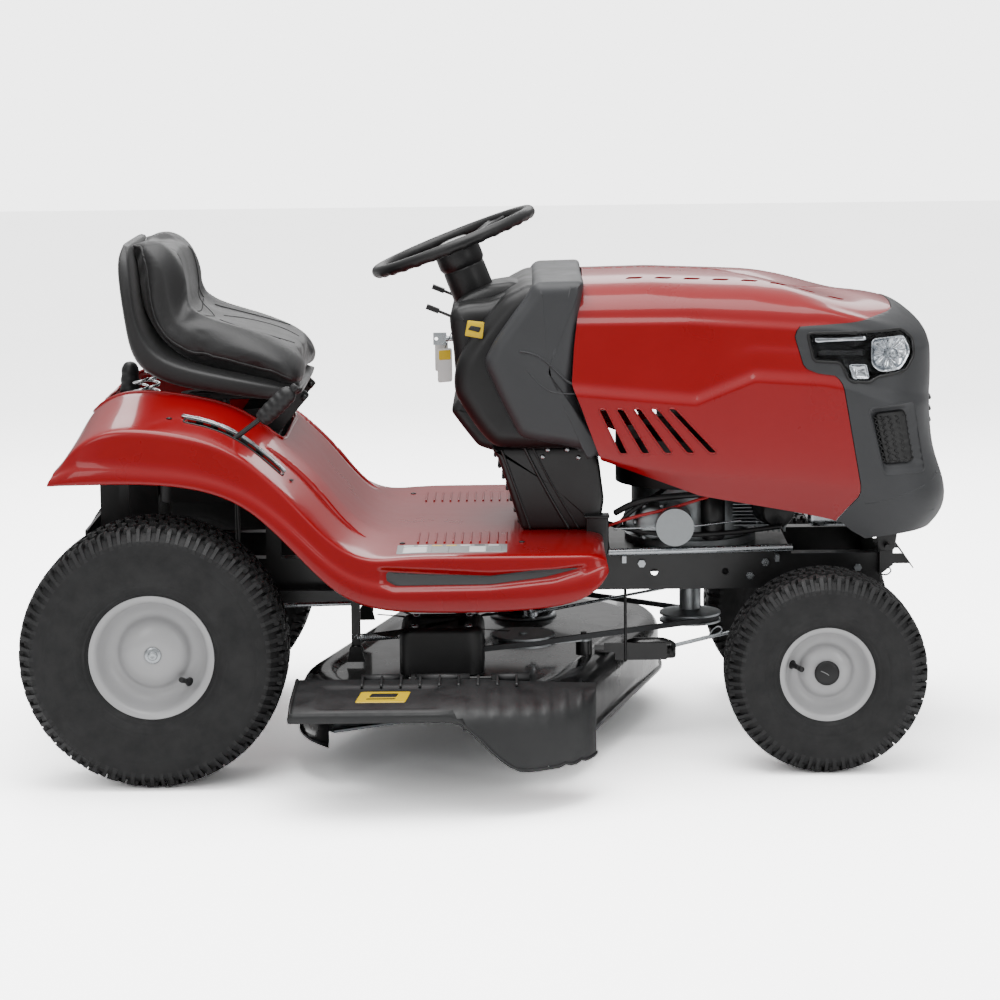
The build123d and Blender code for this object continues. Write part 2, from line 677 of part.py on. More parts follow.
def seat_bracket():
    """Plate under the seat on two posts from the frame, with the seat's hinge ears."""
    plate = block(-90, 226, -200, 200, pan_z - 6, pan_z)
    plate -= upright(71, -50, 36, pan_z - 10, pan_z + 10)
    plate -= block(-91, -58, shift_at[1] - 10, shift_at[1] + 10, pan_z - 10, pan_z + 1)
    for side in (-1, 1):
        y0, y1 = sorted((side * (rail_y - 4), side * rail_y))
        plate += block(196, 226, y0, y1, rail_top, pan_z)
        plate += block(-90, -70, y0, y1, rail_top, pan_z)
        e0, e1 = sorted((side * 100, side * 106))
        plate += side_shape([(120, pan_z - 1), (150, pan_z + 40), (200, pan_z + 44), (seat_hinge_x - 4, pan_z + 74),
                             (seat_hinge_x + 10, pan_z + 66), (seat_hinge_x - 6, pan_z + 48), (226, pan_z - 1)], e0, e1)
        plate -= crosswise(seat_hinge_x, seat_hinge_z, 6 + running_gap, side * 98, side * 108)
    return plate


def coil(x, y, z0, z1, radius, wire, turns):
    """A round-wire compression spring that stands upright."""
    path = Helix(pitch=(z1 - z0 - 2 * wire) / turns, height=z1 - z0 - 2 * wire, radius=radius)
    section = Plane(origin=path @ 0, z_dir=path % 0) * Circle(wire)
    return Pos(x, y, z0 + wire) * sweep(section, path=path, is_frenet=True)


def seat_springs():
    return [coil(-50, y, pan_z + 0.3, 742, 14, 2.5, 6) for y in (-92, 92)]


console_outline = [(672, 900), (701, 915), (730, 932), (818, 937), (800, 830), (793, 736), (858, 590), (850, 585),
                   (700, 590), (634, 604), (602, 668), (574, 737), (566, 805), (572, 861), (587, 887), (640, 908)]
panel_region = [(500, 780), (575, 775), (604, 812), (655, 872), (680, 905), (690, 1000), (500, 1000)]


def console_shell():
    """Hollow console between the hood and the driver, open towards the hood and the pedestal."""
    section = [(-console_half, 560), (-console_half, 770), (-console_half + 24, 860), (-150, 930), (-60, 950),
               (60, 950), (150, 930), (console_half - 24, 860), (console_half, 770), (console_half, 560)]
    outer = side_shape(console_outline, -console_half, console_half) & cross_shape(section, 500, 900)
    inner_side = inset(console_outline, panel)
    inner = side_shape(inner_side, -console_half, console_half)
    inner += Pos(40, 0, 0) * side_shape(inner_side, -console_half, console_half)
    inner += Pos(0, 0, -30) * side_shape(inner_side, -console_half, console_half)
    inner &= cross_shape(inset(section, panel), 400, 1000)
    return outer - inner


def dash_console():
    shell = console_shell() - side_shape(panel_region, -300, 300)
    return shell


def dash_panel():
    """Sloping instrument panel with holes for the column, key, throttle and blade lever."""
    shell = console_shell() & side_shape(panel_region, -300, 300)
    shell -= rod(wheel_centre + column_down * 20, wheel_centre + column_down * 300, 41.5)
    for x, y, z in (throttle_at, blade_lever_at):
        shell -= block(x - 50, x + 20, y - 5, y + 5, z - 20, z + 34)
        shell += block(575, x + 6, y - 11, y - 8, z - 6, z + 6) + block(575, x + 6, y + 8, y + 11, z - 6, z + 6)
        shell += crosswise(x, z, 3, y - 10, y + 10)
    x, y, z = key_at
    return shell - rod((x - 30, y, z), (x + 20, y, z), 5 + running_gap)


def pedestal():
    """Ribbed tower from the footboards up to the console."""
    outline = [(640, 603), (706, floor_z), (850, floor_z), (862, 500), (852, 584), (702, 589)]
    half = 168
    tower = side_shape(outline, -half, half)
    inner = inset(outline, panel)
    hollow = side_shape(inner, -half + panel, half - panel)
    tower -= hollow + Pos(0, 0, -30) * hollow + Pos(0, 0, 30) * hollow
    for side in (-1, 1):
        for step in range(3):
            x = 716 + 36 * step
            y0, y1 = sorted((side * half, side * (half + 5)))
            tower += side_shape([(x, floor_z), (x + 10, floor_z), (x - 30, 580), (x - 40, 580)], y0, y1)
    return tower


hood_outline = [(822, 938), (1051, 930), (1300, 905), (1434, 884), (1470, 862), (1497, 828), (1507, 792),
                (1503, 687), (1514, 604), (1538, 538), (1545, 521), (1534, 489), (1520, 446), (1448, 434),
                (1359, 428), (1319, 470), (1236, 486), (1044, 521), (864, 589), (800, 738), (806, 830)]
cowl_region = [(1319, 380), (1319, 470), (1367, 527), (1366, 570), (1331, 715), (1325, 741), (1241, 772),
               (1225, 838), (1300, 854), (1400, 852), (1434, 900), (1600, 900), (1600, 380)]
lamp_region = [(1250, 776), (1330, 747), (1437, 753), (1463, 790), (1456, 814), (1427, 836), (1236, 834)]


def hood_form(shrink):
    """The hood's outer form, or with shrink its inner form, left open below and at the rear."""
    section = [(-hood_half, 380), (-hood_half, 700), (-264, 842), (-228, 910), (-150, 936), (-60, 946), (60, 946),
               (150, 936), (228, 910), (264, 842), (hood_half, 700), (hood_half, 380)]
    nose = arc_points(1330, -130, 148, 270, 330, 4) + [(1530, -90), (1546, 0), (1530, 90)]
    nose += arc_points(1330, 130, 148, 30, 90, 4)
    plan = [(760, -hood_half)] + nose + [(760, hood_half)]
    side = inset(hood_outline, shrink) if shrink else hood_outline
    section = inset(section, shrink) if shrink else section
    plan = inset(plan, shrink) if shrink else plan
    form = side_shape(side, -400, 400)
    if shrink:
        form += Pos(-24, 0, 0) * side_shape(side, -400, 400)
        form += Pos(0, 0, -24) * side_shape(side, -400, 400)
        form += Pos(-24, 0, -24) * side_shape(side, -400, 400)
    form &= cross_shape(section, 700, 1600)
    return form & plan_shape(plan, 300, 1000)


def hood_wall():
    return hood_form(0) - hood_form(panel)


def louvres():
    """Five slanted slots through both sides and eight short slots along each top edge."""
    cut = Part()
    for step in range(5):
        top = 849 + 33 * step
        low = 888 + 43 * step
        cut += side_shape([(top, 694), (top + 15, 694), (low + 18, 606), (low, 606)], -300, 300)
    for step in range(8):
        x = 905 + 56 * step
        for side in (-1, 1):
            cut += block(x, x + 34, side * 138 - 9, side * 138 + 9, 850, 1000)
    return cut


def hood_shell():
    return hood_wall() - side_shape(cowl_region, -400, 400) - louvres()


def lamp_zone():
    zone = side_shape(lamp_region, -400, 400)
    return zone - block(1000, 1700, -105, 105, 600, 1000)


def hood_cowl():
    """Moulded nose with the lamp openings, slotted side grilles, bumper and hinge straps."""
    cowl = (hood_wall() & side_shape(cowl_region, -400, 400)) - lamp_zone()
    for step in range(7):
        z = 580 + 15 * step
        cowl -= block(1394, 1450, -400, 400, z, z + 7) - block(1300, 1700, -150, 150, 400, 800)
    for side in (-1, 1):
        y0, y1 = sorted((side * 197, side * 203))
        strap = side_shape([(hood_hinge_x - 12, hood_hinge_z - 10), (hood_hinge_x + 12, hood_hinge_z - 10),
                            (hood_hinge_x + 20, 470), (hood_hinge_x - 30, 470)], y0, y1)
        y2, y3 = sorted((side * 197, side * 262))
        strap += block(hood_hinge_x - 30, hood_hinge_x + 20, y2, y3, 466, 470)
        strap -= crosswise(hood_hinge_x, hood_hinge_z, 6 + running_gap, side * 190, side * 210)
        cowl += strap & hood_form(0) + block(1380, 1450, -210, 210, 380, 470)
    return cowl


def headlight_lenses():
    lens = hood_wall() & side_shape(cowl_region, -400, 400) & lamp_zone()
    return lens.solids()


# ---- seat ----------------------------------------------------------------------------------
seat_upper = [(-38, 1024), (-5, 1016), (28, 987), (40, 947), (42, 893), (63, 868), (106, 856), (173, 837),
              (231, 819), (272, 796), (292, 764), (282, 730), (236, 712), (120, 728), (30, 748), (-36, 790),
              (-50, 860), (-66, 985)]
seat_under = [(-66, 985), (-50, 860), (-36, 790), (30, 748), (120, 728), (236, 712), (282, 730), (268, 716),
              (238, 700), (118, 712), (26, 730), (-52, 774), (-66, 858), (-80, 985), (-62, 1012), (-54, 1004)]


def seat_cushion():
    """Padded bucket: back rest and seat in one cover."""
    body = side_shape(seat_upper, -seat_half, seat_half)
    plan = [(-120, -190), (0, -205), (80, -seat_half), (240, -seat_half), (282, -200), (300, -120), (300, 120),
            (282, 200), (240, seat_half), (80, seat_half), (0, 205), (-120, 190)]
    front = [(-190, 1100), (-215, 980), (-seat_half, 880), (-seat_half, 600), (seat_half, 600), (seat_half, 880),
             (215, 980), (190, 1100)]
    body &= plan_shape(plan, 600, 1100)
    body &= cross_shape(front, -200, 400)
    hollow = rod((60, 0, 1300), (330, 0, 1130), 330)
    return body - hollow


def seat_pan():
    """Moulded shell under the cushion, with the hinge plate on its front edge."""
    pan = side_shape(seat_under, -186, 186)
    for side in (-1, 1):
        y0, y1 = sorted((side * 92, side * 99.5))
        lug = side_shape([(210, 706), (seat_hinge_x + 2, 711), (seat_hinge_x + 12, seat_hinge_z),
                          (seat_hinge_x, seat_hinge_z - 12), (seat_hinge_x - 14, seat_hinge_z - 6),
                          (216, 702)], y0, y1)
        y2, y3 = sorted((side * 92, side * 112))
        lug += crosswise(seat_hinge_x, seat_hinge_z, 6, y2, y3)
        pan += lug
    return pan


# ---- cutting deck --------------------------------------------------------------------------
def deck_plan(grow, z):
    """Outline round both blades."""
    edges = (Pos(*left_spindle, z) * Circle(deck_r + grow)).edges()
    edges += (Pos(*right_spindle, z) * Circle(deck_r + grow)).edges()
    return make_hull(edges)


def deck_shell():
    """Pressed steel deck, open below and at the right where the clippings leave."""
    wall = 3.5
    shell = extrude(deck_plan(0, deck_low), amount=deck_top - deck_low, dir=(0, 0, 1))
    shell -= extrude(deck_plan(-wall, deck_low - 1), amount=deck_top - deck_low + 1 - wall, dir=(0, 0, 1))
    shell -= block(330, 770, -700, -430, deck_low - 2, deck_top - wall - 6)
    for x, y in (left_spindle, right_spindle):
        shell -= upright(x, y, 44, deck_top - 10, deck_top + 2)
    return shell


def spindle_housing(x, y):
    profile = [(spindle_r + running_gap, 128), (34, 128), (44, deck_top - 4), (44, deck_top - 3.5), (44, deck_top),
               (62, deck_top), (62, deck_top + 7), (34, deck_top + 20), (spindle_r + running_gap, deck_top + 20)]
    return Pos(x, y, 0) * turned(profile)


def hanger_ear(x, y):
    """Ear on the deck with the pin that a lift link hangs it from."""
    ear = side_shape([(x - 18, deck_top), (x + 18, deck_top), (x + 10, deck_top + 30), (x - 10, deck_top + 30)],
                     y - 14, y - 9)
    return ear + crosswise(x, deck_top + 20, 5, y - 14, y + 10)


def chute_lugs():
    """Two lugs on the deck's edge with the chute's hinge pin through them."""
    lugs = Part()
    for x in chute_lug_x:
        lugs += cross_shape([(-500, deck_top), (-450, deck_top), (chute_hinge_y + 8, chute_hinge_z + 8),
                             (chute_hinge_y - 8, chute_hinge_z + 8)], x - 4, x + 4)
    lugs += rod((486, chute_hinge_y, chute_hinge_z), (654, chute_hinge_y, chute_hinge_z), 4)
    return lugs


def front_bracket():
    """Bracket ahead of the deck with the pin that the front link holds."""
    y = front_link_y
    bracket = block(860, 985, y - 26, y - 20, deck_top - 16, deck_top + 18)
    bracket += block(842, 880, y - 26, y + 24, deck_top, deck_top + 5)
    bracket += crosswise(974, deck_top + 2, 5, y - 26, y + 8)
    bracket -= extrude(deck_plan(0, deck_low), amount=deck_top - deck_low, dir=(0, 0, 1))
    return bracket


def idler_post():
    x, y = idler_pivot
    return upright(x, y, 16, deck_top, belt_z - 14) + upright(x, y, 6, deck_top, belt_z + 3)


def deck_fittings():
    arm_x = lift_shaft_x + lift_arm
    ears = [hanger_ear(arm_x, lift_arm_y), hanger_ear(arm_x, -lift_arm_y)]
    return [spindle_housing(*left_spindle), spindle_housing(*right_spindle), chute_lugs(), front_bracket(),
            idler_post()] + ears


def blade_set(x, y):
    """Cutting blade and, as its own piece, the spindle with its pulley."""
    low = 96.0
    bar = block(-blade_length / 2, blade_length / 2, -28, 28, low, low + 5)
    for side in (-1, 1):
        wing = extrude(make_face(Polyline((0, side * 14, low + 4), (0, side * 27, low + 22), (0, side * 31, low + 20),
                                          (0, side * 20, low + 4), close=True)), amount=110, dir=(1, 0, 0))
        shift = blade_length / 2 - 110 if side > 0 else -blade_length / 2
        bar += Pos(shift, 0, 0) * wing
    turn = Rot(0, 0, 30)
    blade = Pos(x, y, 0) * turn * (bar - upright(0, 0, spindle_r, low - 1, low + 6))
    profile = [(0, low - 12), (20, low - 12), (20, low), (spindle_r, low), (spindle_r, low + 5), (24, low + 5),
               (24, low + 24), (spindle_r, low + 24), (spindle_r, deck_top + 22), (24, deck_top + 22)]
    profile += [(24, belt_z - 9.5)] + sheave(spindle_sheave_r, belt_z)
    profile += [(14, belt_z + 9.5), (14, belt_z + 20), (0, belt_z + 20)]
    return [blade, Pos(x, y, 0) * turned(profile)]


def idler_arm():
    """Flat arm that presses the idler against the belt."""
    x0, y0 = idler_pivot
    x1, y1 = idler_at
    low = belt_z - 14 + body_gap
    run = Vector(x1 - x0, y1 - y0, 0)
    angle = math.degrees(math.atan2(run.Y, run.X))
    arm = Pos(x0, y0, low) * Rot(0, 0, angle) * block(0, run.length, -13, 13, 0, 4)
    arm += upright(x0, y0, 16, low, low + 4) + upright(x1, y1, 16, low, low + 4)
    arm += upright(x1, y1, 7, low, belt_z + 12)
    return arm - upright(x0, y0, 6 + running_gap, low - 1, low + 9)


def idler_pulley():
    x, y = idler_at
    bore = 7 + running_gap
    profile = [(bore, belt_z - 9.5)] + sheave(idler_sheave_r, belt_z) + [(bore, belt_z + 9.5)]
    return Pos(x, y, 0) * turned(profile)


def belt_cover():
    """Moulded cover over the right pulley on four feet outside the belt."""
    x, y = right_spindle
    top = 286
    cover = block(x - 92, x + 70, y - 96, y + 70, top - 6, top)
    cover += block(x - 92, x - 86, y - 96, y + 70, deck_top, top)
    cover += block(x - 92, x + 70, y - 96, y - 90, deck_top, top)
    return cover


def chute():
    """Ribbed deflector that hangs over the outlet: top, front wall, rear wall and hinge barrel."""
    top = [(chute_hinge_y - 4, 226), (-600, 216), (-690, 202), (-704, 188), (-705, 160), (-700, 160),
           (-698, 186), (-688, 196), (-600, 210), (chute_hinge_y - 4, 220)]
    body = cross_shape(top, 236, 836) - block(230, 264, -526, -470, 190, 240)
    body += cross_shape([(-560, 216), (-690, 200), (-704, 188), (-694, 150), (-640, 96), (-600, 84), (-560, 80)], 830, 836)
    body += cross_shape([(-560, 216), (-690, 200), (-704, 188), (-680, 150), (-560, 100)], 236, 241)
    for step in range(7):
        x = 560 + 38 * step
        body += cross_shape([(-500, 220), (-500, 227), (-600, 222), (-696, 202), (-696, 196), (-600, 214)], x, x + 12)
    barrel = rod((502, chute_hinge_y, chute_hinge_z), (638, chute_hinge_y, chute_hinge_z), 9)
    barrel += cross_shape([(chute_hinge_y, 214), (chute_hinge_y, 223), (-510, 224), (-510, 217)], 502, 638)
    body += barrel
    for x in chute_lug_x:
        body -= block(x - 7, x + 7, chute_hinge_y - 14, chute_hinge_y + 20, 190, 240)
    return body - rod((480, chute_hinge_y, chute_hinge_z), (660, chute_hinge_y, chute_hinge_z), 4 + running_gap)


# ---- lift gear -----------------------------------------------------------------------------
def lift_lever():
    """Cross shaft with two lift arms and the hand lever, which steps out over the tyre."""
    x, z = lift_shaft_x, lift_shaft_z
    part = crosswise(x, z, lift_shaft_r, lever_inner_y - 4, lift_arm_y + 12)
    for side in (-1, 1):
        y0, y1 = sorted((side * (lift_arm_y + 4), side * (lift_arm_y + 10)))
        part += side_shape([(x, z - 14), (x + lift_arm, z - 10), (x + lift_arm + 10, z), (x + lift_arm, z + 10),
                            (x, z + 14), (x - 14, z)], y0, y1)
        y2, y3 = sorted((side * (lift_arm_y - 6), side * (lift_arm_y + 10)))
        part += crosswise(x + lift_arm, z, 5, y2, y3)
    route = [(x, lever_inner_y, z), (x, lever_inner_y, 545), (x - 2, lever_y, 602), (x - 4, lever_y, 646),
             (x + 76, lever_y, 706)]
    for start, end in zip(route, route[1:]):
        part += rod(start, end, 5)
        part += Pos(*start) * Sphere(5)
    grip = rod((x + 62, lever_y, 693), (x + 112, lever_y, 740), 14)
    return part + grip


def lift_links():
    """Two flat hanger links from the lift arms down to the deck's ears."""
    x = lift_shaft_x + lift_arm
    low = deck_top + 20
    links = []
    for side in (-1, 1):
        y0, y1 = sorted((side * (lift_arm_y - 4), side * (lift_arm_y + 1)))
        link = block(x - 9, x + 9, y0, y1, low, lift_shaft_z)
        link += crosswise(x, low, 14, y0, y1) + crosswise(x, lift_shaft_z, 11, y0, y1)
        link -= crosswise(x, low, 5 + link_play, y0 - 1, y1 + 1)
        link -= crosswise(x, lift_shaft_z, 5 + running_gap, y0 - 1, y1 + 1)
        links.append(link)
    return links


def front_link():
    """Bent rod from a pin under the frame down to the deck's front bracket, with its hairpin clip."""
    y = front_link_y
    x0, z0 = front_link_pin
    x1, z1 = front_link_eye
    link = crosswise(x0, z0, 12, y - 5, y + 5) + block(x1 - 26, x1 + 18, y - 5, y + 5, z1 - 12, z1 + 12)
    link += rod((x1 + 14, y, z1 + 2), (x0, y, z0), 4)
    link -= crosswise(x0, z0, 6 + running_gap, y - 6, y + 6)
    slot_r = 5 + 2
    link -= block(x1 - 15, x1 + 7, y - 6, y + 6, z1 - slot_r, z1 + slot_r)
    return link - crosswise(x1 - 15, z1, slot_r, y - 6, y + 6) - crosswise(x1 + 7, z1, slot_r, y - 6, y + 6)


def front_link_stay():
    """Hanger under the rails with the front link's pin."""
    y = front_link_y
    x0, z0 = front_link_pin
    stay = block(x0 - 14, x0 + 14, y + 8, y + 13, z0 - 14, rail_low)
    stay += block(x0 - 14, x0 + 14, -rail_y + 1, y + 13, rail_low - 4, rail_low)
    return stay + crosswise(x0, z0, 6, y - 8, y + 13)


# ---- controls ------------------------------------------------------------------------------
def clutch_pedal():
    """Pedal arm on a short cross shaft, with its ribbed pad above the footboard."""
    part = crosswise(pedal_x, pedal_z, 8, 140, 240)
    part += side_shape([(pedal_x - 9, pedal_z), (pedal_x + 9, pedal_z), (pedal_x + 4, 480), (pedal_x - 16, 520),
                        (pedal_x - 26, 516), (pedal_x - 12, 470)], 228, 236)
    pad = Pos(pedal_x - 26, 232, 522) * Rot(0, -50, 0) * Box(60, 92, 10)
    for step in range(5):
        pad += Pos(pedal_x - 26, 232, 522) * Rot(0, -50, 0) * (Pos(-22 + 11 * step, 0, 6) * Box(5, 88, 3))
    return part + pad


def shift_lever():
    x, y, z = shift_at
    part = crosswise(x, z, 9, y - 3, y + 3) + rod((x, y, z), (x - 66, y, z + 214), 5)
    part += rod((x - 66, y, z + 214), (x - 62, y, z + 300), 5) + rod((x - 66, y, z + 222), (x - 62, y, z + 312), 15)
    return part - crosswise(x, z, 5 + running_gap, y - 5, y + 5)


def shift_stay():
    x, y, z = shift_at
    stay = block(x - 14, x + 14, y - 9, y + 12, rail_top + 3, rail_top + 7)
    stay += block(x - 14, x + 14, y - 9, y - 5, rail_top + 3, z + 12)
    return stay + crosswise(x, z, 5, y - 9, y + 5)


def small_lever(at, length):
    """A lever paddle on its own pivot inside the panel, its handle standing out to the rear."""
    x, y, z = at
    lever = crosswise(x, z, 6, y - 3, y + 3)
    tip = (x - length, y, z + length * 0.42)
    lever += rod((x, y, z), tip, 3)
    lever += Pos(*tip) * Rot(0, 22, 0) * Box(26, 20, 9)
    return lever - crosswise(x, z, 3 + running_gap, y - 5, y + 5)


def ignition_key():
    """Key with its bow, ring and a plain tag hanging from it."""
    x, y, z = key_at
    key = rod((x - 14, y, z), (x + 12, y, z), 5) + Pos(x - 26, y, z) * Box(26, 5, 24)
    key -= crosswise(x - 33, z, 3.5, y - 5, y + 5)
    return key


def assemble():
    parts = {
        "frame_rails": both_sides(frame_rail()),
        "frame_plates": frame_plates() + [front_link_stay(), shift_stay()],
        "front_guard": front_guard(),
        "frame_bolts": frame_bolts(),
        "control_rods": control_rods(),
        "engine_block": engine_block(),
        "engine_shroud": engine_shroud(),
        "muffler": muffler(),
        "battery": battery(),
        "fuel_tank": fuel_tank(),
        "fuel_cap": fuel_cap(),
        "transaxle": transaxle(),
        "engine_pulley": engine_pulley(),
        "transaxle_pulley": transaxle_pulley(),
        "drive_belt": drive_belt(),
        "fender": fender(),
        "seat_bracket": seat_bracket(),
        "seat_springs": seat_springs(),
        "seat_pan": seat_pan(),
        "seat_cushion": seat_cushion(),
        "dash_console": dash_console(),
        "dash_panel": dash_panel(),
        "pedestal": pedestal(),
        "column_tube": column_tube(),
        "steering_wheel": steering_wheel(),
        "steering_shaft": steering_shaft(),
        "steering_sector": steering_sector(),
        "front_axle": front_axle(),
        "knuckle_left": knuckle(1),
        "knuckle_right": knuckle(-1),
        "tie_rod": tie_rod(),
        "drag_link": drag_link(),
        "hood_shell": hood_shell(),
        "hood_cowl": hood_cowl(),
        "headlight_lenses": headlight_lenses(),
        "deck_shell": deck_shell(),
        "deck_fittings": deck_fittings(),
        "belt_cover": belt_cover(),
        "blade_left": blade_set(*left_spindle),
        "blade_right": blade_set(*right_spindle),
        "idler_arm": idler_arm(),
        "idler_pulley": idler_pulley(),
        "deck_belt": deck_belt(),
        "chute": chute(),
        "lift_lever": lift_lever(),
        "lift_links": lift_links(),
        "front_link": front_link(),
        "clutch_pedal": clutch_pedal(),
        "shift_lever": shift_lever(),
        "throttle_lever": small_lever(throttle_at, 60),
        "blade_lever": small_lever(blade_lever_at, 66),
        "ignition_key": ignition_key(),
    }
    for name, side in (("left", 1), ("right", -1)):
        parts["tyre_rear_" + name], parts["rim_rear_" + name] = rear_wheel(side)
        parts["tyre_front_" + name], parts["rim_front_" + name] = front_wheel(side)
    return parts


def as_compound(shape):
    """One compound of separate solids, however the piece was made."""
    pieces = shape if isinstance(shape, (list, ShapeList)) else [shape]
    solids = [solid for piece in pieces for solid in piece.solids()]
    return Compound(children=[Solid(s.wrapped) for s in solids]) if len(solids) > 1 else solids[0]


def main():
    parts = {name: as_compound(shape) for name, shape in assemble().items()}
    whole = Compound([shape for shape in parts.values()])
    box = whole.bounding_box()
    shift = Pos(-(box.min.X + box.max.X) / 2, -(box.min.Y + box.max.Y) / 2, -box.min.Z)
    os.makedirs("parts", exist_ok=True)
    for name, shape in parts.items():
        export_step(shift * shape, f"parts/{name}.step")
    print("shift", [round(v, 4) for v in shift.position])
    print("size", [round(v, 2) for v in box.size])
    print("nodes", len(parts))
    return parts, shift


if __name__ == "__main__":
    main()
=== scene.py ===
import math
import bmesh
import bpy
import numpy as np
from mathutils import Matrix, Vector


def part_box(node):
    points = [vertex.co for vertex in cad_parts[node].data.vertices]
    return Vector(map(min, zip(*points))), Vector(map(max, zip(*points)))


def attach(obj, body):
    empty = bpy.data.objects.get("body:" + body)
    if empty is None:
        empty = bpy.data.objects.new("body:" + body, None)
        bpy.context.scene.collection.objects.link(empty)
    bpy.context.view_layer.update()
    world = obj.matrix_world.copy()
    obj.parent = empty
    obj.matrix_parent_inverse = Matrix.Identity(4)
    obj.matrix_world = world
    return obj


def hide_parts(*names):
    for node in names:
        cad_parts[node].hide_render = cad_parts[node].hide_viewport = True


# A riding lawn mower dressed around its fixed frame. Points are given in millimetres from the
# rear axle: x forward, y to the driver's left, z up from the ground. place() puts them in the frame.

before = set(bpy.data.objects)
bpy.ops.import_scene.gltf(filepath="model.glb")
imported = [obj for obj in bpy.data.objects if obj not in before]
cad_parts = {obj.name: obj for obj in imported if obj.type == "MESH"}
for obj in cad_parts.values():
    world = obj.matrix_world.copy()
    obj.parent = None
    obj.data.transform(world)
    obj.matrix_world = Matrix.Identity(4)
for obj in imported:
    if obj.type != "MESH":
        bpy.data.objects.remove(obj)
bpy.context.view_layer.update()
print("frame loaded:", len(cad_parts), "nodes")


def boxCentre(node):
    low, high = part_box(node)
    return (np.array(low) + np.array(high)) / 2


# the rear axle is half way between the two rear tyres
axleMiddle = (boxCentre("tyre_rear_left") + boxCentre("tyre_rear_right")) / 2
origin = np.array([axleMiddle[0], axleMiddle[1], 0.0])


def place(points):
    # metres = origin + millimetres / 1000
    return np.asarray(points, float) / 1000.0 + origin


# curves and outlines
def smooth(a, b, x):
    # 0 before a, 1 after b, 3t^2 - 2t^3 between.
    t = np.clip((np.asarray(x, float) - a) / (b - a), 0, 1)
    return t * t * (3 - 2 * t)


def resample(line, count, closed=False):
    # The same line with count points at equal steps along it.
    line = np.asarray(line, float)
    if closed:
        line = np.vstack([line, line[:1]])
    step = np.r_[0, np.cumsum(np.linalg.norm(np.diff(line, axis=0), axis=1))]
    at = np.linspace(0, step[-1], count + 1)[:-1] if closed else np.linspace(0, step[-1], count)
    return np.stack([np.interp(at, step, line[:, k]) for k in range(line.shape[1])], 1)


def bspline(line, count, closed=False):
    # Uniform cubic B-spline of the points: weights (1-t)^3, 3t^3-6t^2+4, -3t^3+3t^2+3t+1, t^3 over 6.
    p = np.asarray(line, float)
    p = np.vstack([p[-1:], p, p[:2]]) if closed else np.vstack([2 * p[:1] - p[1:2], p, 2 * p[-1:] - p[-2:-1]])
    spans = len(p) - 3
    s = np.linspace(0, spans, count, endpoint=not closed)
    i = np.minimum(s.astype(int), spans - 1)
    t = (s - i)[:, None]
    w = [(1 - t) ** 3, 3 * t ** 3 - 6 * t ** 2 + 4, -3 * t ** 3 + 3 * t ** 2 + 3 * t + 1, t ** 3]
    return sum(w[k] * p[i + k] for k in range(4)) / 6


def roundOutline(points, radius, count):
    # A closed outline whose corners are cut by parabolas of about that radius, at equal steps.
    p = np.asarray(points, float)
    before, after = np.roll(p, 1, 0) - p, np.roll(p, -1, 0) - p
    lb, la = np.linalg.norm(before, axis=1), np.linalg.norm(after, axis=1)
    cut = np.minimum(radius, 0.45 * np.minimum(lb, la))[:, None]
    a, b = p + before / lb[:, None] * cut, p + after / la[:, None] * cut
    t = np.linspace(0, 1, 9)[None, :, None]
    arcs = (1 - t) ** 2 * a[:, None] + 2 * t * (1 - t) * p[:, None] + t ** 2 * b[:, None]
    return resample(arcs.reshape(-1, p.shape[1]), count, closed=True)


def shrink(outline, amount):
    # Each point of a closed flat outline moved inwards along its normal.
    along = np.roll(outline, -1, 0) - np.roll(outline, 1, 0)
    along /= np.linalg.norm(along, axis=1)[:, None] + 1e-9
    normal = np.stack([-along[:, 1], along[:, 0]], 1)
    area = np.sum(outline[:, 0] * np.roll(outline[:, 1], -1) - np.roll(outline[:, 0], -1) * outline[:, 1])
    return outline + normal * (amount if area > 0 else -amount)


# meshes
def addMesh(name, points, faces, millimetres=True):
    # An object from an array of points and an array of faces.
    mesh = bpy.data.meshes.new(name)
    points = place(points) if millimetres else np.asarray(points)
    mesh.from_pydata(points.reshape(-1, 3).tolist(), [], [list(f) for f in faces])
    mesh.validate()
    mesh.polygons.foreach_set("use_smooth", np.ones(len(mesh.polygons), bool))
    mesh.update()
    piece = bpy.data.objects.new(name, mesh)
    bpy.context.scene.collection.objects.link(piece)
    return piece


def gridFaces(rows, columns, closeRows=False, closeColumns=False):
    # Quads between neighbours of a rows x columns grid, as an array.
    i, j = np.meshgrid(np.arange(rows if closeRows else rows - 1),
                       np.arange(columns if closeColumns else columns - 1), indexing="ij")
    i2, j2 = (i + 1) % rows, (j + 1) % columns
    return np.stack([i * columns + j, i * columns + j2, i2 * columns + j2, i2 * columns + j], -1).reshape(-1,
        4)


def outwards(piece, merge=1e-6):
    # Merges doubles and turns every face of a closed piece outwards.

    bm = bmesh.new()
    bm.from_mesh(piece.data)
    bmesh.ops.remove_doubles(bm, verts=bm.verts, dist=merge)
    bmesh.ops.dissolve_degenerate(bm, dist=merge, edges=bm.edges)
    bmesh.ops.recalc_face_normals(bm, faces=bm.faces)
    bm.to_mesh(piece.data)
    bm.free()
    return piece


def gridPiece(name, grid, closeRows=False, closeColumns=False, capEnds=False):
    # A surface from a grid of points; capEnds closes the first and last row with a flat face.
    rows, columns = grid.shape[:2]
    faces = gridFaces(rows, columns, closeRows, closeColumns).tolist()
    if capEnds:
        faces.append(list(range(columns))[::-1])
        faces.append([(rows - 1) * columns + k for k in range(columns)])
    return outwards(addMesh(name, grid, faces))


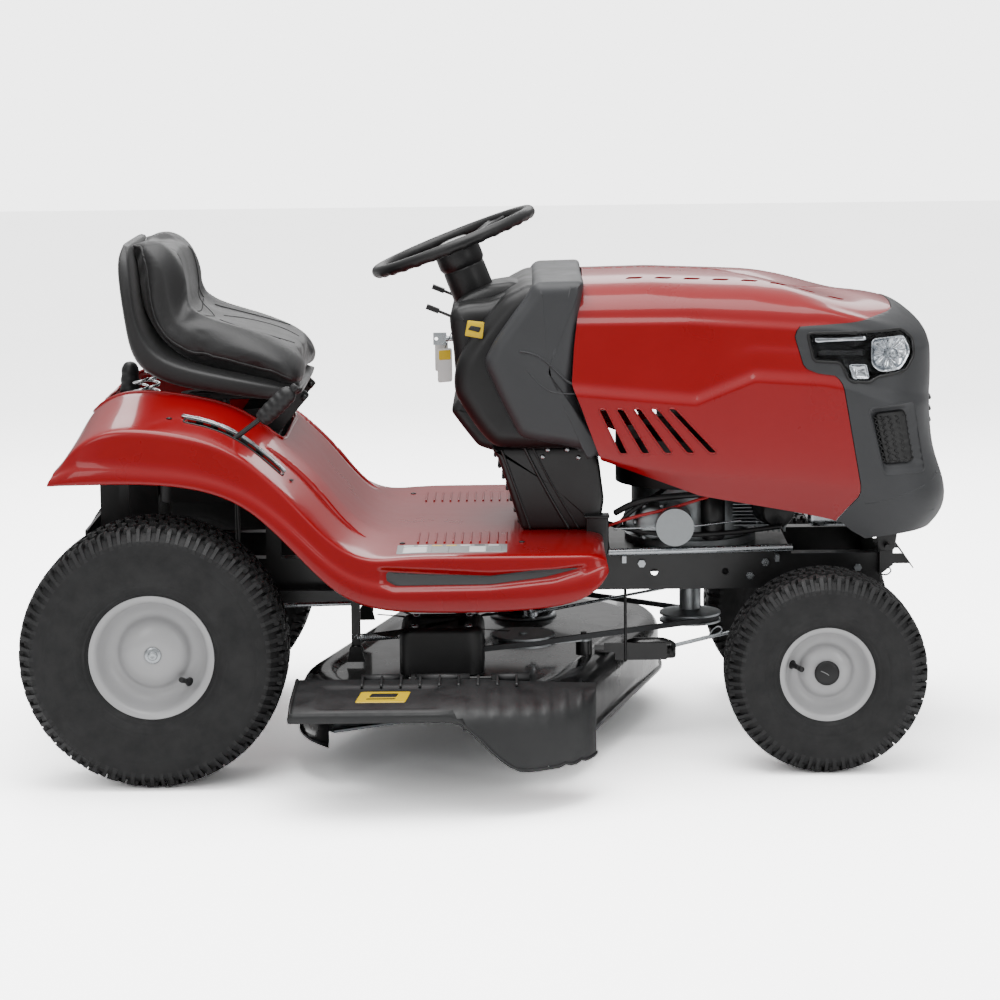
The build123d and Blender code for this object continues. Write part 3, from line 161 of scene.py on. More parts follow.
def tubeGrid(path, radius, sides=12):
    # Circle carried along a path: centre + r(cos a n + sin a b), its frame turned with the path.
    p = np.asarray(path, float)
    along = np.gradient(p, axis=0)
    along /= np.linalg.norm(along, axis=1)[:, None]
    n = np.cross(along[0], (0.31, 0.17, 0.94) if abs(along[0][2]) < 0.9 else (1.0, 0.2, 0.1))
    normals = []
    for direction in along:                       # the frame is carried on from station to station
        n = n - direction * np.dot(n, direction)
        n = n / np.linalg.norm(n)
        normals.append(n)
    normals = np.array(normals)
    side = np.cross(along, normals)
    a = np.linspace(0, 2 * math.pi, sides, endpoint=False)
    r = np.broadcast_to(np.asarray(radius, float), (len(p),))[:, None, None]
    return p[:, None] + r * (np.cos(a)[None, :, None] * normals[:, None] + np.sin(a)[None, :, None] * side[:,
        None])


def tube(name, points, radius, sides=12, count=None, straight=False):
    # A round rod or wire through the points, its ends closed and slightly rounded.
    count = count or max(8, 6 * len(points))
    line = resample(points, count) if straight else resample(bspline(points, 12 * len(points)), count)
    line = np.vstack([line[:1], line, line[-1:]])
    ends = np.ones(len(line))
    ends[0] = ends[-1] = 0.6
    line[0] += (line[1] - line[2]) / np.linalg.norm(line[1] - line[2]) * radius * 0.35
    line[-1] += (line[-2] - line[-3]) / np.linalg.norm(line[-2] - line[-3]) * radius * 0.35
    return gridPiece(name, tubeGrid(line, radius * ends, sides), closeColumns=True, capEnds=True)


def lathe(name, profile, centre, axis, sides=64, start=0.0):
    # A profile of (radius, height) turned round an axis through centre: c + r(cos a u + sin a v) + h w.
    w = np.asarray(axis, float) / np.linalg.norm(axis)
    u = np.cross(w, (0, 0, 1.0) if abs(w[2]) < 0.9 else (1.0, 0, 0))
    u /= np.linalg.norm(u)
    v = np.cross(w, u)
    profile = np.asarray(profile, float)
    a = start + np.linspace(0, 2 * math.pi, sides, endpoint=False)[None, :, None]
    r, h = profile[:, 0][:, None, None], profile[:, 1][:, None, None]
    grid = np.asarray(centre, float) + r * (np.cos(a) * u + np.sin(a) * v) + h * w
    ends = profile[0, 0] > 1e-6, profile[-1, 0] > 1e-6
    piece = gridPiece(name, grid, closeColumns=True, capEnds=False)
    if any(ends) and not np.allclose(profile[0], profile[-1]):
        piece["open"] = True
    return piece


def loaf(name, outline, half, edge, axis="y", middle=0.0, corner=20.0, count=120, crown=0.0, steps=6):
    # A flat outline carried across to +-half, its rim rounded: the outline shrinks by edge(1 - cos a)
    # while its distance falls short of half by edge(1 - sin a); crown swells the two faces.
    line = roundOutline(outline, corner, count)
    a = np.linspace(0, math.pi / 2, steps)
    inner = shrink(line, edge)
    centre = inner.mean(0)
    scales = np.array([0.06, 0.35, 0.65, 0.86])
    rings, heights = [], []
    for s in scales:
        rings.append(centre + (inner - centre) * s)
        heights.append(half + crown * (1 - s ** 2))
    for angle in a:
        rings.append(shrink(line, edge * (1 - math.sin(angle))))
        heights.append(half - edge * (1 - math.cos(angle)))
    rings, heights = np.array(rings), np.array(heights)
    rings = np.concatenate([rings, rings[::-1]])
    heights = np.concatenate([heights, -heights[::-1]]) + middle
    h = np.broadcast_to(heights[:, None], rings.shape[:2])
    order = {"y": (rings[..., 0], h, rings[..., 1]), "x": (h, rings[..., 0], rings[..., 1]),
             "z": (rings[..., 0], rings[..., 1], h)}[axis]
    return gridPiece(name, np.stack(order, -1), closeColumns=True, capEnds=True)


def prism(name, outline, low, high, axis="y"):
    # A sharp-edged prism, used to cut openings.
    line = np.asarray(outline, float)
    rows = []
    for h in (low, high):
        flat = np.full(len(line), float(h))
        rows.append(np.stack({"y": (line[:, 0], flat, line[:, 1]), "x": (flat, line[:, 0], line[:, 1]),
                              "z": (line[:, 0], line[:, 1], flat)}[axis], -1))
    return gridPiece(name, np.array(rows), closeColumns=True, capEnds=True)


def boxPiece(name, low, high, edge=3.0, axis="z"):
    # A block between two corners with rounded edges.
    (x0, y0, z0), (x1, y1, z1) = low, high
    flat = {"z": [(x0, y0), (x1, y0), (x1, y1), (x0, y1)], "y": [(x0, z0), (x1, z0), (x1, z1), (x0, z1)],
            "x": [(y0, z0), (y1, z0), (y1, z1), (y0, z1)]}[axis]
    a, b = {"z": (z0, z1), "y": (y0, y1), "x": (x0, x1)}[axis]
    return loaf(name, flat, (b - a) / 2, edge, axis, (a + b) / 2, corner=2.2 * edge, count=48, steps=4)


def join(name, pieces):
    # Several pieces as one object.
    points, faces, start = [], [], 0
    for piece in pieces:
        mesh = piece.data
        co = np.zeros(len(mesh.vertices) * 3, np.float32)
        mesh.vertices.foreach_get("co", co)
        points.append(co.reshape(-1, 3))
        faces += [[v + start for v in f.vertices] for f in mesh.polygons]
        start += len(mesh.vertices)
        bpy.data.objects.remove(piece)
    return addMesh(name, np.vstack(points), faces, millimetres=False)


def mirror(name, piece, keep=True):
    # The piece and its mirror image across the middle, as one object.
    mesh = piece.data
    co = np.zeros(len(mesh.vertices) * 3, np.float32)
    mesh.vertices.foreach_get("co", co)
    co = co.reshape(-1, 3).astype(float)
    other = co.copy()
    other[:, 1] = 2 * origin[1] - other[:, 1]
    faces = [list(f.vertices) for f in mesh.polygons]
    count = len(co)
    if keep:
        both, allFaces = np.vstack([co, other]), faces + [[v + count for v in f][::-1] for f in faces]
    else:
        both, allFaces = other, [f[::-1] for f in faces]
    bpy.data.objects.remove(piece)
    return addMesh(name, both, allFaces, millimetres=False)


def applied(piece):
    # Makes the piece's modifiers final.
    graph = bpy.context.evaluated_depsgraph_get()
    graph.update()
    mesh = bpy.data.meshes.new_from_object(piece.evaluated_get(graph))
    piece.modifiers.clear()
    piece.data = mesh
    return piece


def cutWith(piece, cutters, how="DIFFERENCE"):
    # Boolean with each cutter, which is then removed.
    for cutter in cutters:
        tool = piece.modifiers.new("cut", "BOOLEAN")
        tool.operation, tool.solver, tool.object = how, "EXACT", cutter
        applied(piece)
        bpy.data.objects.remove(cutter)
    return piece


def thicken(piece, millimetres, offset=-1.0):
    wall = piece.modifiers.new("wall", "SOLIDIFY")
    wall.thickness, wall.offset, wall.use_even_offset = millimetres / 1000, offset, True
    return piece


def sharpen(piece, angle=40):
    # Marks edges sharper than the angle, so that flat faces shade flat beside round ones.
    piece.data.set_sharp_from_angle(angle=math.radians(angle))
    return piece


# materials
def linear(code):
    # sRGB hex to linear RGBA: c/12.92 below 0.04045, else ((c + 0.055)/1.055)^2.4.
    c = np.array([int(code[k:k + 2], 16) / 255 for k in (1, 3, 5)])
    c = np.where(c <= 0.04045, c / 12.92, ((c + 0.055) / 1.055) ** 2.4)
    return (*c.tolist(), 1.0)


def addNode(tree, kind, settings=None, links=None, **properties):
    # Adds one node, sets its sockets by name or number, and links sockets to other nodes' outputs.
    node = tree.nodes.new(kind)
    for key, value in properties.items():
        setattr(node, key, value)
    for key, value in (settings or {}).items():
        node.inputs[key].default_value = value
    for key, (source, output) in (links or {}).items():
        tree.links.new(source.outputs[output], node.inputs[key])
    return node


def surface(name, shader, dark=None, light=None, spots=12.0, rough=None, bump=None):
    # A Principled material. dark and light are the two ends of its colour variation over spots mm, rough
    # the two ends of its roughness, bump (size in mm, height in mm, strength) its relief.
    material = bpy.data.materials.new(name)
    material.use_nodes = True
    tree = material.node_tree
    bsdf = tree.nodes["Principled BSDF"]
    for key, value in shader.items():
        bsdf.inputs[key].default_value = value
    where = addNode(tree, "ShaderNodeTexCoord")
    broad = addNode(tree, "ShaderNodeTexNoise", {"Scale": 1000 / spots, "Detail": 4.0, "Roughness": 0.6},
                    {"Vector": (where, "Object")})
    if dark:
        mix = addNode(tree, "ShaderNodeMix", {6: linear(dark), 7: linear(light)}, data_type="RGBA")
        tree.links.new(broad.outputs["Fac"], mix.inputs[0])
        tree.links.new(mix.outputs[2], bsdf.inputs["Base Color"])
    if rough:
        spread = addNode(tree, "ShaderNodeMapRange", {"From Min": 0.3, "From Max": 0.7, "To Min": rough[0],
                                                      "To Max": rough[1]}, {"Value": (broad, "Fac")})
        tree.links.new(spread.outputs["Result"], bsdf.inputs["Roughness"])
    if bump:
        grain = addNode(tree, "ShaderNodeTexNoise", {"Scale": 1000 / bump[0], "Detail": 3.0},
                        {"Vector": (where, "Object")})
        relief = addNode(tree, "ShaderNodeBump", {"Strength": bump[2], "Distance": bump[1] / 1000},
                         {"Height": (grain, "Fac")})
        tree.links.new(relief.outputs["Normal"], bsdf.inputs["Normal"])
    return material


# stoved red enamel: deep saturated colour under a clear gloss with a faint orange peel
redPaint = surface("stoved_red_enamel", {"Coat Weight": 0.6, "Coat Roughness": 0.08, "IOR": 1.45,
                   "Specular IOR Level": 0.25}, "#8a0007", "#930009", 160, (0.26, 0.34), (9.0, 0.05, 0.12))
# powder coat on steel: near black, soft sheen, fine pebbled skin
blackPaint = surface("black_powder_coat", {"IOR": 1.5, "Coat Weight": 0.25, "Coat Roughness": 0.2},
                     "#0b0b0c", "#141415", 90, (0.30, 0.46), (2.4, 0.06, 0.35))
# deck enamel: black and wet looking
glossBlack = surface("black_gloss_enamel", {"IOR": 1.5, "Coat Weight": 0.8, "Coat Roughness": 0.08},
                     "#080809", "#101012", 120, (0.22, 0.36), (12.0, 0.1, 0.12))
# moulded polypropylene, mid grey: matt with a fine spark-eroded grain
greyPlastic = surface("grey_moulded_polypropylene", {"IOR": 1.49}, "#303133", "#37383a", 70,
                      (0.42, 0.54), (1.4, 0.06, 0.30))
# the same plastic in black for the panel, pedestal and caps
blackPlastic = surface("black_moulded_polypropylene", {"IOR": 1.49}, "#0e0e0f", "#151516", 60,
                       (0.36, 0.50), (1.3, 0.05, 0.28))
# glass filled nylon of the chute: slightly paler, scuffed
chutePlastic = surface("grey_glass_filled_nylon", {"IOR": 1.53}, "#151617", "#1f2021", 45,
                       (0.40, 0.62), (1.8, 0.09, 0.35))
# soft grip moulding: dull black rubber
gripRubber = surface("black_soft_grip", {"IOR": 1.48}, "#151516", "#202021", 30, (0.38, 0.55),
    (0.9, 0.05, 0.4))
# wheel lacquer: pale warm grey enamel with a soft gloss
rimPaint = surface("grey_wheel_enamel", {"IOR": 1.5, "Coat Weight": 0.5, "Coat Roughness": 0.12},
                   "#a9a9aa", "#b8b8b9", 60, (0.30, 0.42), (5.0, 0.05, 0.15))
# carbon black tyre rubber: matt, dusty variation, fine mould texture
tyreRubber = surface("tyre_rubber", {"IOR": 1.52}, "#0d0d0e", "#161617", 38, (0.58, 0.80), (2.2, 0.16, 0.45))
lugRubber = surface("tread_rubber", {"IOR": 1.52}, "#111112", "#1c1c1d", 22, (0.50, 0.74), (1.6, 0.12, 0.4))
# cast aluminium: bright grey, grainy from the sand
castAluminium = surface("sand_cast_aluminium", {"Metallic": 1.0}, "#8d9193", "#b4b8ba", 18,
                        (0.34, 0.56), (1.6, 0.14, 0.6))
# zinc plated steel: pale blue-grey metal, slightly streaky
zincSteel = surface("zinc_plated_steel", {"Metallic": 1.0}, "#a4a9ad", "#c6cacd", 14, (0.20, 0.36),
    (1.0, 0.03, 0.25))
# chromium plate: mirror bright
chrome = surface("chromium_plate", {"Metallic": 1.0}, "#cfd1d3", "#e6e8ea", 20, (0.06, 0.14))
# ground blade steel
bladeSteel = surface("ground_blade_steel", {"Metallic": 1.0}, "#6d7073", "#8c9093", 25, (0.3, 0.5),
    (1.5, 0.05, 0.3))
# rubber and fabric belt: grey, matt
beltRubber = surface("wrapped_belt_rubber", {"IOR": 1.5}, "#2a2b2c", "#434547", 9, (0.6, 0.8),
    (1.2, 0.15, 0.5))
# lamp lens: clear polycarbonate
lensClear = surface("clear_polycarbonate", {"Base Color": linear("#f4f6f8"), "Transmission Weight": 1.0,
                    "IOR": 1.2, "Roughness": 0.02}, None, None, 30, (0.01, 0.05))
# lamp reflector: vacuum-metallised plastic
reflectorMetal = surface("metallised_reflector", {"Metallic": 1.0}, "#d9dbde", "#f2f4f6", 25, (0.08, 0.16),
    (7.0, 0.3, 0.25))
redWire = surface("red_pvc_insulation", {"IOR": 1.5}, "#a3161a", "#bd2024", 12, (0.3, 0.42))
stripGrit = surface("anti_slip_grit_tape", {"IOR": 1.5}, "#38393a", "#4a4b4c", 6, (0.7, 0.9),
    (1.6, 0.35, 0.8))
yellowLabel = surface("yellow_vinyl_label", {"IOR": 1.5}, "#d9b400", "#e6c20c", 60, (0.3, 0.4))
whiteLabel = surface("white_vinyl_label", {"IOR": 1.5}, "#d8d8d6", "#e6e6e4", 60, (0.3, 0.4))
greyLabel = surface("grey_vinyl_label", {"IOR": 1.5}, "#7d7e7e", "#9a9b9b", 40, (0.35, 0.45))
# black for the printed ink on the labels, and for the painted shade of the sheet behind the side grille chevrons
inkAndPaintedShadeBlack = surface("printed_ink_and_painted_shade_black", {"IOR": 1.5}, "#1a1a1a", "#242424", 40, (0.4, 0.5))


def vinylMaterial(name, dark, light, grain):
    # Calendered seat vinyl: leather cells from a Voronoi edge distance, a faint sheen at grazing angles.
    material = surface(name, {"IOR": 1.5, "Sheen Weight": 0.12, "Sheen Roughness": 0.5}, dark, light, 80,
        (0.36, 0.50))
    tree = material.node_tree
    where = [n for n in tree.nodes if n.bl_idname == "ShaderNodeTexCoord"][0]
    cells = addNode(tree, "ShaderNodeTexVoronoi", {"Scale": 1000 / grain}, {"Vector": (where, "Object")},
                    feature="DISTANCE_TO_EDGE")
    crease = addNode(tree, "ShaderNodeMapRange", {"From Min": 0.0, "From Max": 0.12},
        {"Value": (cells, "Distance")})
    relief = addNode(tree, "ShaderNodeBump", {"Strength": 0.25, "Distance": 0.0004},
        {"Height": (crease, "Result")})
    tree.links.new(relief.outputs["Normal"], tree.nodes["Principled BSDF"].inputs["Normal"])
    return material


# 2.6 mm leather cells, drawn a little coarser than the real 1.5 mm so that they show
seatVinyl = vinylMaterial("black_seat_vinyl", "#0f0f10", "#151516", 2.6)
threadBlack = surface("sewing_thread", {"IOR": 1.5}, "#101010", "#1a1a1a", 5, (0.6, 0.8))
print("materials made")


def finish(piece, material, body, replaces=()):
    # Gives the piece its material, its body, its finish slot and the frame nodes it stands for.
    piece.data.materials.clear()
    piece.data.materials.append(material)
    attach(piece, body)
    if replaces:
        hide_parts(*replaces)
    return piece


def dress(nodes, material):
    # A frame node keeps its shape and gets a finished material.
    for node in nodes:
        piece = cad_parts[node]
        if piece.data.materials:
            for k in range(len(piece.material_slots)):
                piece.material_slots[k].material = material
        else:
            piece.data.materials.append(material)


# camera, floor and light
view = dict(position=(713.8, -6085.1, 1470.6), focalPixels=3055.2, pitch=0.1624, yaw=-0.0095, roll=-0.0118)


def makeCamera():
    # Rotation whose columns are right, up and back, from yaw, then pitch down, then roll.
    yaw, pitch, roll = view["yaw"], view["pitch"], view["roll"]
    right = np.array([math.cos(yaw), -math.sin(yaw), 0])
    ahead = np.array([math.sin(yaw), math.cos(yaw), 0])
    up = np.array([0, 0, 1.0])
    ahead2 = ahead * math.cos(pitch) - up * math.sin(pitch)
    up2 = up * math.cos(pitch) + ahead * math.sin(pitch)
    right2 = right * math.cos(roll) + up2 * math.sin(roll)
    up3 = -right * math.sin(roll) + up2 * math.cos(roll)
    lens = bpy.data.cameras.new("camera")
    lens.sensor_width = 36.0
    lens.lens = view["focalPixels"] * 36.0 / 1000
    lens.clip_end = 100
    camera = bpy.data.objects.new("camera", lens)
    bpy.context.scene.collection.objects.link(camera)
    from mathutils import Matrix
    turn = Matrix(np.stack([right2, up3, -ahead2], 1).tolist()).to_4x4()
    camera.matrix_world = Matrix.Translation(Vector(place(view["position"]))) @ turn
    bpy.context.scene.camera = camera


def makeStage():
    # Pale floor, one large soft light overhead, a softer one from the camera's side, white surroundings.
    floorPiece = addMesh("floor", [(-9000, -9000, 0), (11000, -9000, 0), (11000, 16000, 0),
        (-9000, 16000, 0)],
                         [(0, 1, 2, 3)])
    floorPiece.data.materials.append(surface("pale_studio_floor", {"IOR": 1.45}, "#fbfbfb", "#fdfdfd", 900,
        (0.6, 0.7)))
    # seen directly, the floor is several times as bright as the light that it throws back, like a lit
    # white sweep
    tree = floorPiece.data.materials[0].node_tree
    out = next(n for n in tree.nodes if n.type == "OUTPUT_MATERIAL")
    matt = out.inputs["Surface"].links[0].from_node
    twice = addNode(tree, "ShaderNodeAddShader", links={0: (matt, 0), 1: (matt, 0)})
    fourTimes = addNode(tree, "ShaderNodeAddShader", links={0: (twice, 0), 1: (twice, 0)})
    ray = addNode(tree, "ShaderNodeLightPath")
    seen = addNode(tree, "ShaderNodeMixShader", links={0: (ray, "Is Camera Ray"), 1: (matt, 0),
        2: (fourTimes, 0)})
    tree.links.new(seen.outputs[0], out.inputs["Surface"])
    world = bpy.data.worlds.new("studio")
    world.use_nodes = True
    tree = world.node_tree
    ground = tree.nodes["Background"]
    ground.inputs["Color"].default_value = linear("#ffffff")
    # bright above, dimmer towards the horizon, and an even white wherever the camera sees it
    facing = addNode(tree, "ShaderNodeTexCoord")
    parts = addNode(tree, "ShaderNodeSeparateXYZ", links={0: (facing, "Generated")})
    upward = addNode(tree, "ShaderNodeMath", {1: 0.9, 2: 0.26}, {0: (parts, "Z")}, operation="MULTIPLY_ADD")
    ray = addNode(tree, "ShaderNodeLightPath")
    pick = addNode(tree, "ShaderNodeMix", {3: 4.2}, {0: (ray, "Is Camera Ray"), 2: (upward, 0)},
        data_type="FLOAT")
    tree.links.new(pick.outputs[0], ground.inputs["Strength"])
    bpy.context.scene.world = world
    lights = [("overhead", (300, -300, 3600), (650, 0, 300), (3800, 2600), 130),
              ("camera_side", (-1500, -4200, 2600), (650, -300, 400), (1500, 2200), 26),
              ("front_corner", (3600, -3000, 1900), (1200, -200, 500), (1000, 2200), 22),
              ("behind", (700, 3600, 2600), (650, 200, 700), (3600, 1200), 45)]
    for name, at, aim, size, power in lights:
        data = bpy.data.lights.new(name, "AREA")
        data.shape, data.size, data.size_y, data.energy = "RECTANGLE", size[0] / 1000, size[1] / 1000, power
        lamp = bpy.data.objects.new(name, data)
        bpy.context.scene.collection.objects.link(lamp)
        start, end = Vector(place(at)), Vector(place(aim))
        lamp.location = start
        lamp.rotation_euler = (end - start).to_track_quat("-Z", "Y").to_euler()


makeCamera()
makeStage()
print("camera and stage set")

# tyres and rims
tyreSizes = dict(rear=dict(x=0.0, y=383.0, radius=254.0, width=200.0, rim=117.0, pitches=40),
                 front=dict(x=1280.0, y=334.0, radius=194.0, width=150.0, rim=89.0, pitches=34))
lugHeight = 7.5         # the tread's depth in mm
treadLines = [           # one pitch of the tread on one side: share of the pitch, share of the half width
    [(0.06, 0.99), (0.06, 0.80), (0.12, 0.62), (0.38, 0.56), (0.46, 0.66), (0.44, 0.78)],
    [(0.60, 0.99), (0.60, 0.84), (0.64, 0.74), (0.88, 0.72)],
    [(0.72, 0.58), (0.86, 0.46), (0.72, 0.36), (0.50, 0.34)],
    [(0.24, 0.42), (0.30, 0.26), (0.12, 0.16), (-0.10, 0.14)],
    [(0.62, 0.22), (0.70, 0.06), (0.56, -0.04)],
]


def treadRadius(size, share):
    # Outer radius at a share of the half width: flat crown, then a rounded shoulder.
    s = np.clip(np.abs(share), 0, 1)
    return size["radius"] - 0.3 - 10 * s ** 4 - 20 * np.clip(s - 0.72, 0, 1) ** 2 / 0.28 ** 2 * 0.9


def tyreBody(name, size, side):
    # Casing turned from its profile, open at the beads, with moulded rings on the side walls.
    half, rim, radius = size["width"] / 2, size["rim"], size["radius"]
    wall = [(rim - 8, 0.66 * half), (rim - 2, 0.73 * half), (rim + 5, 0.78 * half), (rim + 9, 0.845 * half),
            (rim + 13, 0.85 * half), (rim + 15, 0.88 * half), (rim + 26, 0.945 * half),
            (rim + 29, 0.935 * half),
            (rim + 32, 0.965 * half), (radius - 66, 0.995 * half), (radius - 56, 1.0 * half),
            (radius - 53, 0.99 * half),
            (radius - 50, 1.0 * half), (radius - 36, 0.995 * half), (radius - 26, 0.975 * half)]
    crown = [(treadRadius(size, s) - lugHeight, s * half) for s in (0.93, 0.8, 0.6, 0.3, 0.0)]
    upper = np.array(wall + crown)
    lower = upper[::-1][1:] * (1, -1)
    inner = [(rim - 8, -0.56 * half), (rim + 10, -0.7 * half), (rim + 40, -0.86 * half),
        (radius - 40, -0.86 * half),
             (radius - 22, 0), (radius - 40, 0.86 * half), (rim + 40, 0.86 * half), (rim + 10, 0.7 * half),
             (rim - 8, 0.56 * half)]
    outside = bspline(np.vstack([upper, lower]), 110)
    profile = np.vstack([outside, bspline(inner, 30)])
    a = np.linspace(0, 2 * math.pi, 144, endpoint=False)[None, :]
    r, h = profile[:, 0][:, None], profile[:, 1][:, None]
    grid = np.stack([size["x"] + r * np.cos(a), side * size["y"] + h + 0 * a,
        size["radius"] + r * np.sin(a)], -1)
    return gridPiece(name, grid, closeRows=True, closeColumns=True)


def treadLugs(name, size, side):
    # Each lug is a bent bar: its line offset by +-w across, its top on the tread radius and its foot
    # lugHeight below; all pitches and both halves are worked out at once by turning round the axle.
    half, count = size["width"] / 2, size["pitches"]
    pitch = 2 * math.pi * size["radius"] / count
    pieces = []
    for number, line in enumerate(treadLines):
        p = np.array(line) * (pitch, half)
        along = np.gradient(p, axis=0)
        along /= np.linalg.norm(along, axis=1)[:, None]
        across = np.stack([-along[:, 1], along[:, 0]], 1)
        wide = 3.4 + 0.6 * (number % 2)
        k = len(p)
        ring = []
        for offset, drop in ((-wide - 1.2, lugHeight + 1.5), (-wide, 0.0), (wide, 0.0),
                (wide + 1.2, lugHeight + 1.5)):
            q = p + across * offset
            ring.append(np.concatenate([q, np.full((k, 1), drop)], 1))
        ring = np.stack(ring, 1)                                  # k x 4 x (s, w, drop)
        turns = np.arange(count)[:, None, None] * pitch
        for flip in (1, -1):
            s = (ring[..., 0][None] + turns + (pitch * 0.5 if flip < 0 else 0)) * flip / size["radius"]
            w = np.broadcast_to(ring[..., 1] * flip, s.shape)
            r = treadRadius(size, w / half) - ring[..., 2][None]
            grid = np.stack([size["x"] + r * np.cos(s), side * size["y"] + w,
                size["radius"] + r * np.sin(s)], -1)
            base = gridFaces(k, 4, closeColumns=True).tolist() + [[3, 2, 1, 0],
                [(k - 1) * 4 + j for j in range(4)]]
            faces = (np.arange(count)[:, None] * (k * 4)).tolist()
            allFaces = [[v + start[0] for v in f] for start in faces for f in base]
            pieces.append(outwards(addMesh("lug", grid.reshape(-1, 3), allFaces)))
    return sharpen(join(name, pieces), 30)


def rimPiece(name, size, side):
    # Pressed wheel: rolled lip, barrel, sunk disc and a raised dome round the hub, turned as one profile.
    rim, half = size["rim"], size["width"] / 2 * 0.74
    k = rim / 117.0
    face = [(9.6, half * 0.25), (9.6, half * 0.68), (16 * k, half * 0.72), (34 * k, half * 0.70),
        (52 * k, half * 0.62),
            (63 * k, half * 0.50), (67 * k, half * 0.36), (72 * k, half * 0.31), (82 * k, half * 0.33),
            (94 * k, half * 0.44), (100 * k, half * 0.62), (103 * k, half * 0.84), (106 * k, half * 0.95),
            (111 * k, half * 1.0), (115 * k, half * 1.02), (rim + 1.5, half * 1.05), (rim + 2.5, half * 1.02),
            (rim + 1, half * 0.97), (rim - 6, half * 0.93), (rim - 8, half * 0.82), (rim - 10, half * 0.4)]
    back = [(rim - 10, -half * 0.82), (rim - 6, -half * 0.93), (rim + 1, -half * 0.97),
        (rim + 2.5, -half * 1.02),
            (rim + 1.5, -half * 1.05), (112 * k, -half * 1.02), (104 * k, -half * 0.86),
            (99 * k, -half * 0.5),
            (97 * k, half * 0.2), (90 * k, half * 0.28), (70 * k, half * 0.22), (58 * k, half * 0.36),
            (40 * k, half * 0.5), (24 * k, half * 0.5), (22 * k, -half * 0.4), (10.5, -half * 0.4)]
    line = np.vstack([bspline(np.repeat(face, 1, 0), 90), bspline(back, 60)])
    a = np.linspace(0, 2 * math.pi, 120, endpoint=False)[None, :]
    r, h = line[:, 0][:, None], line[:, 1][:, None] * side
    grid = np.stack([size["x"] + r * np.cos(a), side * size["y"] + h + 0 * a,
        size["radius"] + r * np.sin(a)], -1)
    return gridPiece(name, grid, closeRows=True, closeColumns=True)


def valvePiece(name, size, side, angle):
    # Rubber valve stem with its cap, leaning out of the sunk disc.
    half, k = size["width"] / 2 * 0.74, size["rim"] / 117.0
    r = 88 * k
    foot = np.array([size["x"] + r * math.cos(angle), side * (size["y"] + half * 0.36),
        size["radius"] + r * math.sin(angle)])
    lean = np.array([-math.cos(angle) * 0.55, side * 1.0, -math.sin(angle) * 0.55])
    profile = [(0, -2), (8.5, -2), (9, 2), (6.5, 6), (5.2, 10), (4.6, 22), (4.2, 26), (5.4, 27), (5.4, 36),
        (4.6, 38), (0, 38.5)]
    return lathe(name, np.array(profile) * (1, 1), foot, lean, sides=20)


for axleWord, size in tyreSizes.items():
    for word, side in (("left", 1), ("right", -1)):
        body = f"wheel_{axleWord}_{word}"
        finish(tyreBody(f"casing_{axleWord}_{word}", size, side), tyreRubber, body,
                        [f"tyre_{axleWord}_{word}"])
        finish(treadLugs(f"tread_{axleWord}_{word}", size, side), lugRubber, body)
        finish(rimPiece(f"wheel_disc_{axleWord}_{word}", size, side), rimPaint, body,
               [f"rim_{axleWord}_{word}"])
        angle = -0.72 if axleWord == "rear" else 2.95
        finish(valvePiece(f"valve_{axleWord}_{word}", size, side, angle), blackPlastic, body)
        half = size["width"] / 2 * 0.74
        hub = [size["x"], side * size["y"], size["radius"]]
        if axleWord == "rear":
            stub = lathe(f"axle_end_rear_{word}", [(0, -290), (9.4, -290), (9.4, half * 0.78),
                (8.4, half * 0.81), (4, half * 0.815), (0, half * 0.79)],
                         hub, (0, side, 0), sides=32)
            finish(stub, zincSteel, body)
            washer = lathe(f"hub_washer_rear_{word}",
                [(9.4, half * 0.70), (15.5, half * 0.705), (16, half * 0.73), (15, half * 0.75),
                (9.4, half * 0.75)],
                           hub, (0, side, 0), sides=40)
            finish(washer, zincSteel, body)
        else:
            cap = lathe(f"hub_cap_front_{word}", [(0, half * 0.4), (20, half * 0.4), (21, half * 0.74),
                (23.5, half * 0.76), (24, half * 0.80),
                        (22.5, half * 0.84), (17, half * 0.87), (0, half * 0.885)], hub, (0, side, 0),
                        sides=48)
            finish(cap, blackPlastic, body)
            line = np.array([[hub[0] - 12, side * (size["y"] + half * 0.888), hub[2] + 5],
                [hub[0] - 2, side * (size["y"] + half * 0.892), hub[2] + 1],
                             [hub[0] + 3, side * (size["y"] + half * 0.888), hub[2] - 3]])
            finish(tube(f"cap_mark_front_{word}", line, 0.9, 6, 12), greyLabel, body)
print("wheels made")

# hood and nose
hood = dict(rearLean=[(589, 863), (740, 799), (817, 804), (884, 813), (941, 824)], wall=3.6, cornerPower=0.62,
            bottom=[(790, 612), (863, 589), (1044, 521), (1236, 486), (1319, 468), (1359, 430), (1448, 432),
            (1540, 446)],
            lowCrease=[(790, 618), (880, 590), (1010, 563), (1167, 552), (1350, 530), (1545, 500)],
            midCrease=[(790, 724), (1036, 701), (1150, 746), (1318, 735), (1545, 700)],
            upCrease=[(790, 856), (1021, 856), (1240, 842), (1430, 846), (1545, 800)],
            roof=[(790, 927), (955, 930), (1151, 922), (1288, 906), (1385, 890), (1440, 872), (1500, 835)])
